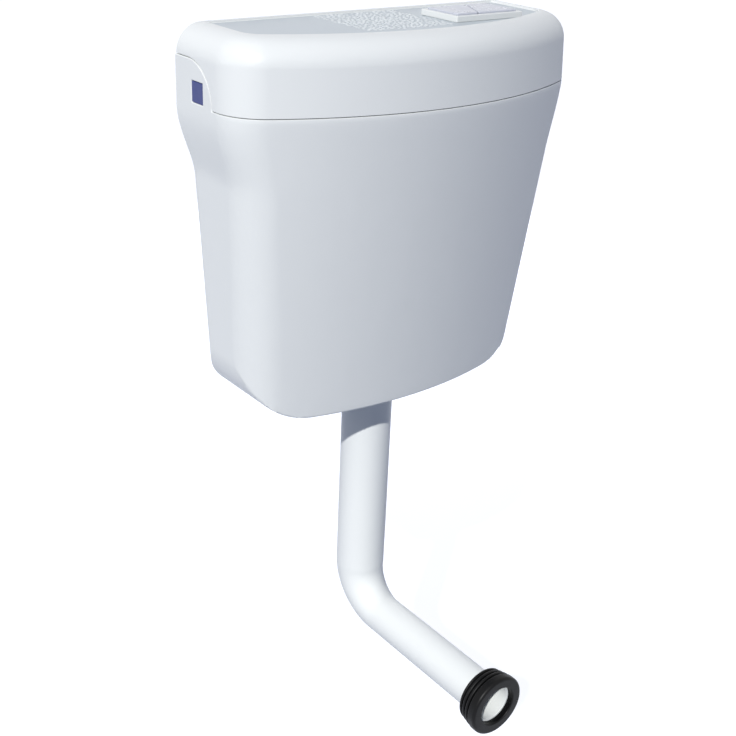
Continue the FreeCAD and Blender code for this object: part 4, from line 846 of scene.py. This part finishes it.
class CISTERN_OT_pan_cone(bpy.types.Operator):
    """Turn the rubber pan cone and set its ribs round it"""

    bl_idname = "cistern.pan_cone"
    bl_label = "Pan cone"

    def execute(self, context):
        sizes = context.scene.cistern_sizes
        low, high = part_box("pan_cone")
        middle = (low + high) / 2
        front = (high.x - low.x) / 2
        back = sizes.cone_back
        length = high.y - low.y
        run = length - sizes.cone_ring
        step = (front - back) / sizes.cone_ribs
        grip, facets = 20.1 * MM, 112
        groove, edge, lip = 2 * MM, 1.2 * MM, 3 * MM
        outline = [(grip, 0), (back - groove, 0), (front - step - groove, run)]
        outline += rounded((front - edge, run + edge), edge, -90, 0)
        outline += rounded((front - lip, length - lip), lip, 0, 90)
        outline += rounded((grip + edge, length - edge), edge, 90, 180)
        shape = bmesh.new()
        turn(shape, outline, facets, lambda r, s, angle: (
            middle.x + r * math.sin(angle), high.y - s, middle.z + r * math.cos(angle)))
        put("pan_cone_sleeve", plain_mesh(shape, "pan_cone_sleeve"), "pan_cone")

        first = back - sizes.rib_round
        mesh = grow("pan_cone_ribs", bpy.data.meshes.new("nothing"), rib_tree("black_rubber"), {
            "Ribs": sizes.cone_ribs, "Rib Radius": first, "Rib Round": sizes.rib_round,
            "Pitch": (0, -run / sizes.cone_ribs, 0), "Growth": step / first,
            "First": (middle.x, high.y - sizes.rib_round, middle.z)})
        put("pan_cone_ribs", mesh, body="cistern", slot="black_rubber")
        return {"FINISHED"}


class CISTERN_OT_side_plug(bpy.types.Operator):
    """Round the blanking plug and its gasket in the side window"""

    bl_idname = "cistern.side_plug"
    bl_label = "Side plug"

    def execute(self, context):
        sizes = context.scene.cistern_sizes
        soften("side_inlet_plug", sizes.rim_round)
        soften("plug_gasket", sizes.trim_round)
        return {"FINISHED"}


class CISTERN_OT_inlet(bpy.types.Operator):
    """Cut the thread on the inlet shank and round its nut, gasket and filter"""

    bl_idname = "cistern.inlet"
    bl_label = "Inlet fittings"

    def execute(self, context):
        sizes = context.scene.cistern_sizes
        for node in ("inlet_gasket", "inlet_nut", "inlet_filter"):
            soften(node, sizes.trim_round)
        axis = Vector((-34 * MM, 10.5 * MM))
        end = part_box("fill_valve_body")[1].x
        nut_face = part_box("inlet_nut")[1].x
        ear_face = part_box("inlet_gasket")[0].x
        outer, skin_margin, face_margin, bite = 8.3 * MM, 0.3 * MM, 0.2 * MM, 0.1 * MM
        depth = 0.42 * sizes.thread_pitch
        core = outer - 2 * depth + bite
        shape = merged_copy("fill_valve_body")
        for vert in shape.verts:
            reach = vert.co.yz - axis
            if vert.co.x > nut_face + face_margin and reach.length > outer - skin_margin:
                vert.co.y, vert.co.z = axis + reach.normalized() * core

        def is_inside(edge):
            return max(vert.co.x for vert in edge.verts) < ear_face - sizes.trim_round

        round_edges(shape, sizes.trim_round, wanted=is_inside)
        put("fill_valve_body_moulded", plain_mesh(shape, "fill_valve_body_moulded"), "fill_valve_body")
        run = end - nut_face - 3 * depth
        steps = 48
        mesh = grow("inlet_thread", bpy.data.meshes.new("nothing"), coil_tree("valve_plastic"), {
            "Turns": run / sizes.thread_pitch, "Coil Radius": outer - depth, "Wire Radius": depth,
            "Length": run, "Turn": (0, math.pi / 2, 0), "Steps": steps,
            "Foot": (nut_face + 1.5 * depth, axis[0], axis[1])})
        put("inlet_thread", mesh, body="cistern", slot="valve_plastic")
        return {"FINISHED"}


class CISTERN_OT_outlet(bpy.types.Operator):
    """Round the outlet washer, valve base, nuts and pipe seal"""

    bl_idname = "cistern.outlet"
    bl_label = "Outlet fittings"

    def execute(self, context):
        sizes = context.scene.cistern_sizes
        for node in (
                "outlet_washer", "flush_valve_base", "outlet_backnut", "flush_pipe_nut",
                "flush_pipe_seal"):
            soften(node, sizes.trim_round)
        return {"FINISHED"}


class CISTERN_OT_flush_valve(bpy.types.Operator):
    """Round the flush valve: cage, overflow tube, seal and ring float"""

    bl_idname = "cistern.flush_valve"
    bl_label = "Flush valve"

    def execute(self, context):
        sizes = context.scene.cistern_sizes
        for node in ("flush_valve_tower", "overflow_tube", "flush_seal", "flush_float"):
            soften(node, sizes.trim_round)
        return {"FINISHED"}


class CISTERN_OT_levers(bpy.types.Operator):
    """Round the flush lever, the half flush trip and their pin"""

    bl_idname = "cistern.levers"
    bl_label = "Flush levers"

    def execute(self, context):
        sizes = context.scene.cistern_sizes
        for node in ("flush_lever", "half_flush_trip", "lever_pin"):
            soften(node, sizes.trim_round)
        return {"FINISHED"}


class CISTERN_OT_fill_valve(bpy.types.Operator):
    """Round the fill valve: cap, diaphragm, tube, float, rod, lever and pin"""

    bl_idname = "cistern.fill_valve"
    bl_label = "Fill valve"

    def execute(self, context):
        sizes = context.scene.cistern_sizes
        for node in (
                "fill_valve_cap", "fill_diaphragm", "fill_tube", "fill_float", "float_rod",
                "fill_lever", "fill_lever_pin"):
            soften(node, sizes.trim_round)
        return {"FINISHED"}


class CISTERN_OT_stage(bpy.types.Operator):
    """Set up the floor, the light and the camera"""

    bl_idname = "cistern.stage"
    bl_label = "Stage"

    def execute(self, context):
        settings = context.scene.cistern_stage
        lay_floor(settings)
        light_stage(settings)
        aim_camera(settings)
        context.scene.view_settings.view_transform = "Standard"
        return {"FINISHED"}


PIECES = (
    CISTERN_OT_finishes, CISTERN_OT_tank, CISTERN_OT_lid, CISTERN_OT_push_plate,
    CISTERN_OT_springs, CISTERN_OT_flush_bend, CISTERN_OT_pan_cone, CISTERN_OT_side_plug,
    CISTERN_OT_inlet, CISTERN_OT_outlet, CISTERN_OT_flush_valve, CISTERN_OT_levers,
    CISTERN_OT_fill_valve, CISTERN_OT_stage)


class CISTERN_PT_panel(bpy.types.Panel):
    """Lists the steps that dress the cistern and their settings"""

    bl_idname = "CISTERN_PT_panel"
    bl_label = "Flush cistern"
    bl_space_type = "VIEW_3D"
    bl_region_type = "UI"
    bl_category = "Cistern"

    def draw(self, context):
        column = self.layout.column()
        for piece in PIECES:
            column.operator(piece.bl_idname)
        scene = context.scene
        for group in (scene.cistern_sizes, scene.cistern_colours, scene.cistern_stage):
            box = self.layout.box()
            for name in group.__annotations__:
                box.prop(group, name)


CLASSES = (CISTERN_PG_sizes, CISTERN_PG_colours, CISTERN_PG_stage, *PIECES, CISTERN_PT_panel)


def register():
    for each in CLASSES:
        bpy.utils.register_class(each)
    bpy.types.Scene.cistern_sizes = bpy.props.PointerProperty(type=CISTERN_PG_sizes)
    bpy.types.Scene.cistern_colours = bpy.props.PointerProperty(type=CISTERN_PG_colours)
    bpy.types.Scene.cistern_stage = bpy.props.PointerProperty(type=CISTERN_PG_stage)


def unregister():
    del bpy.types.Scene.cistern_stage
    del bpy.types.Scene.cistern_colours
    del bpy.types.Scene.cistern_sizes
    for each in reversed(CLASSES):
        bpy.utils.unregister_class(each)


def main():
    register()
    for piece in PIECES:
        group, name = piece.bl_idname.split(".")
        getattr(getattr(bpy.ops, group), name)()


if __name__ == "__main__":
    main()
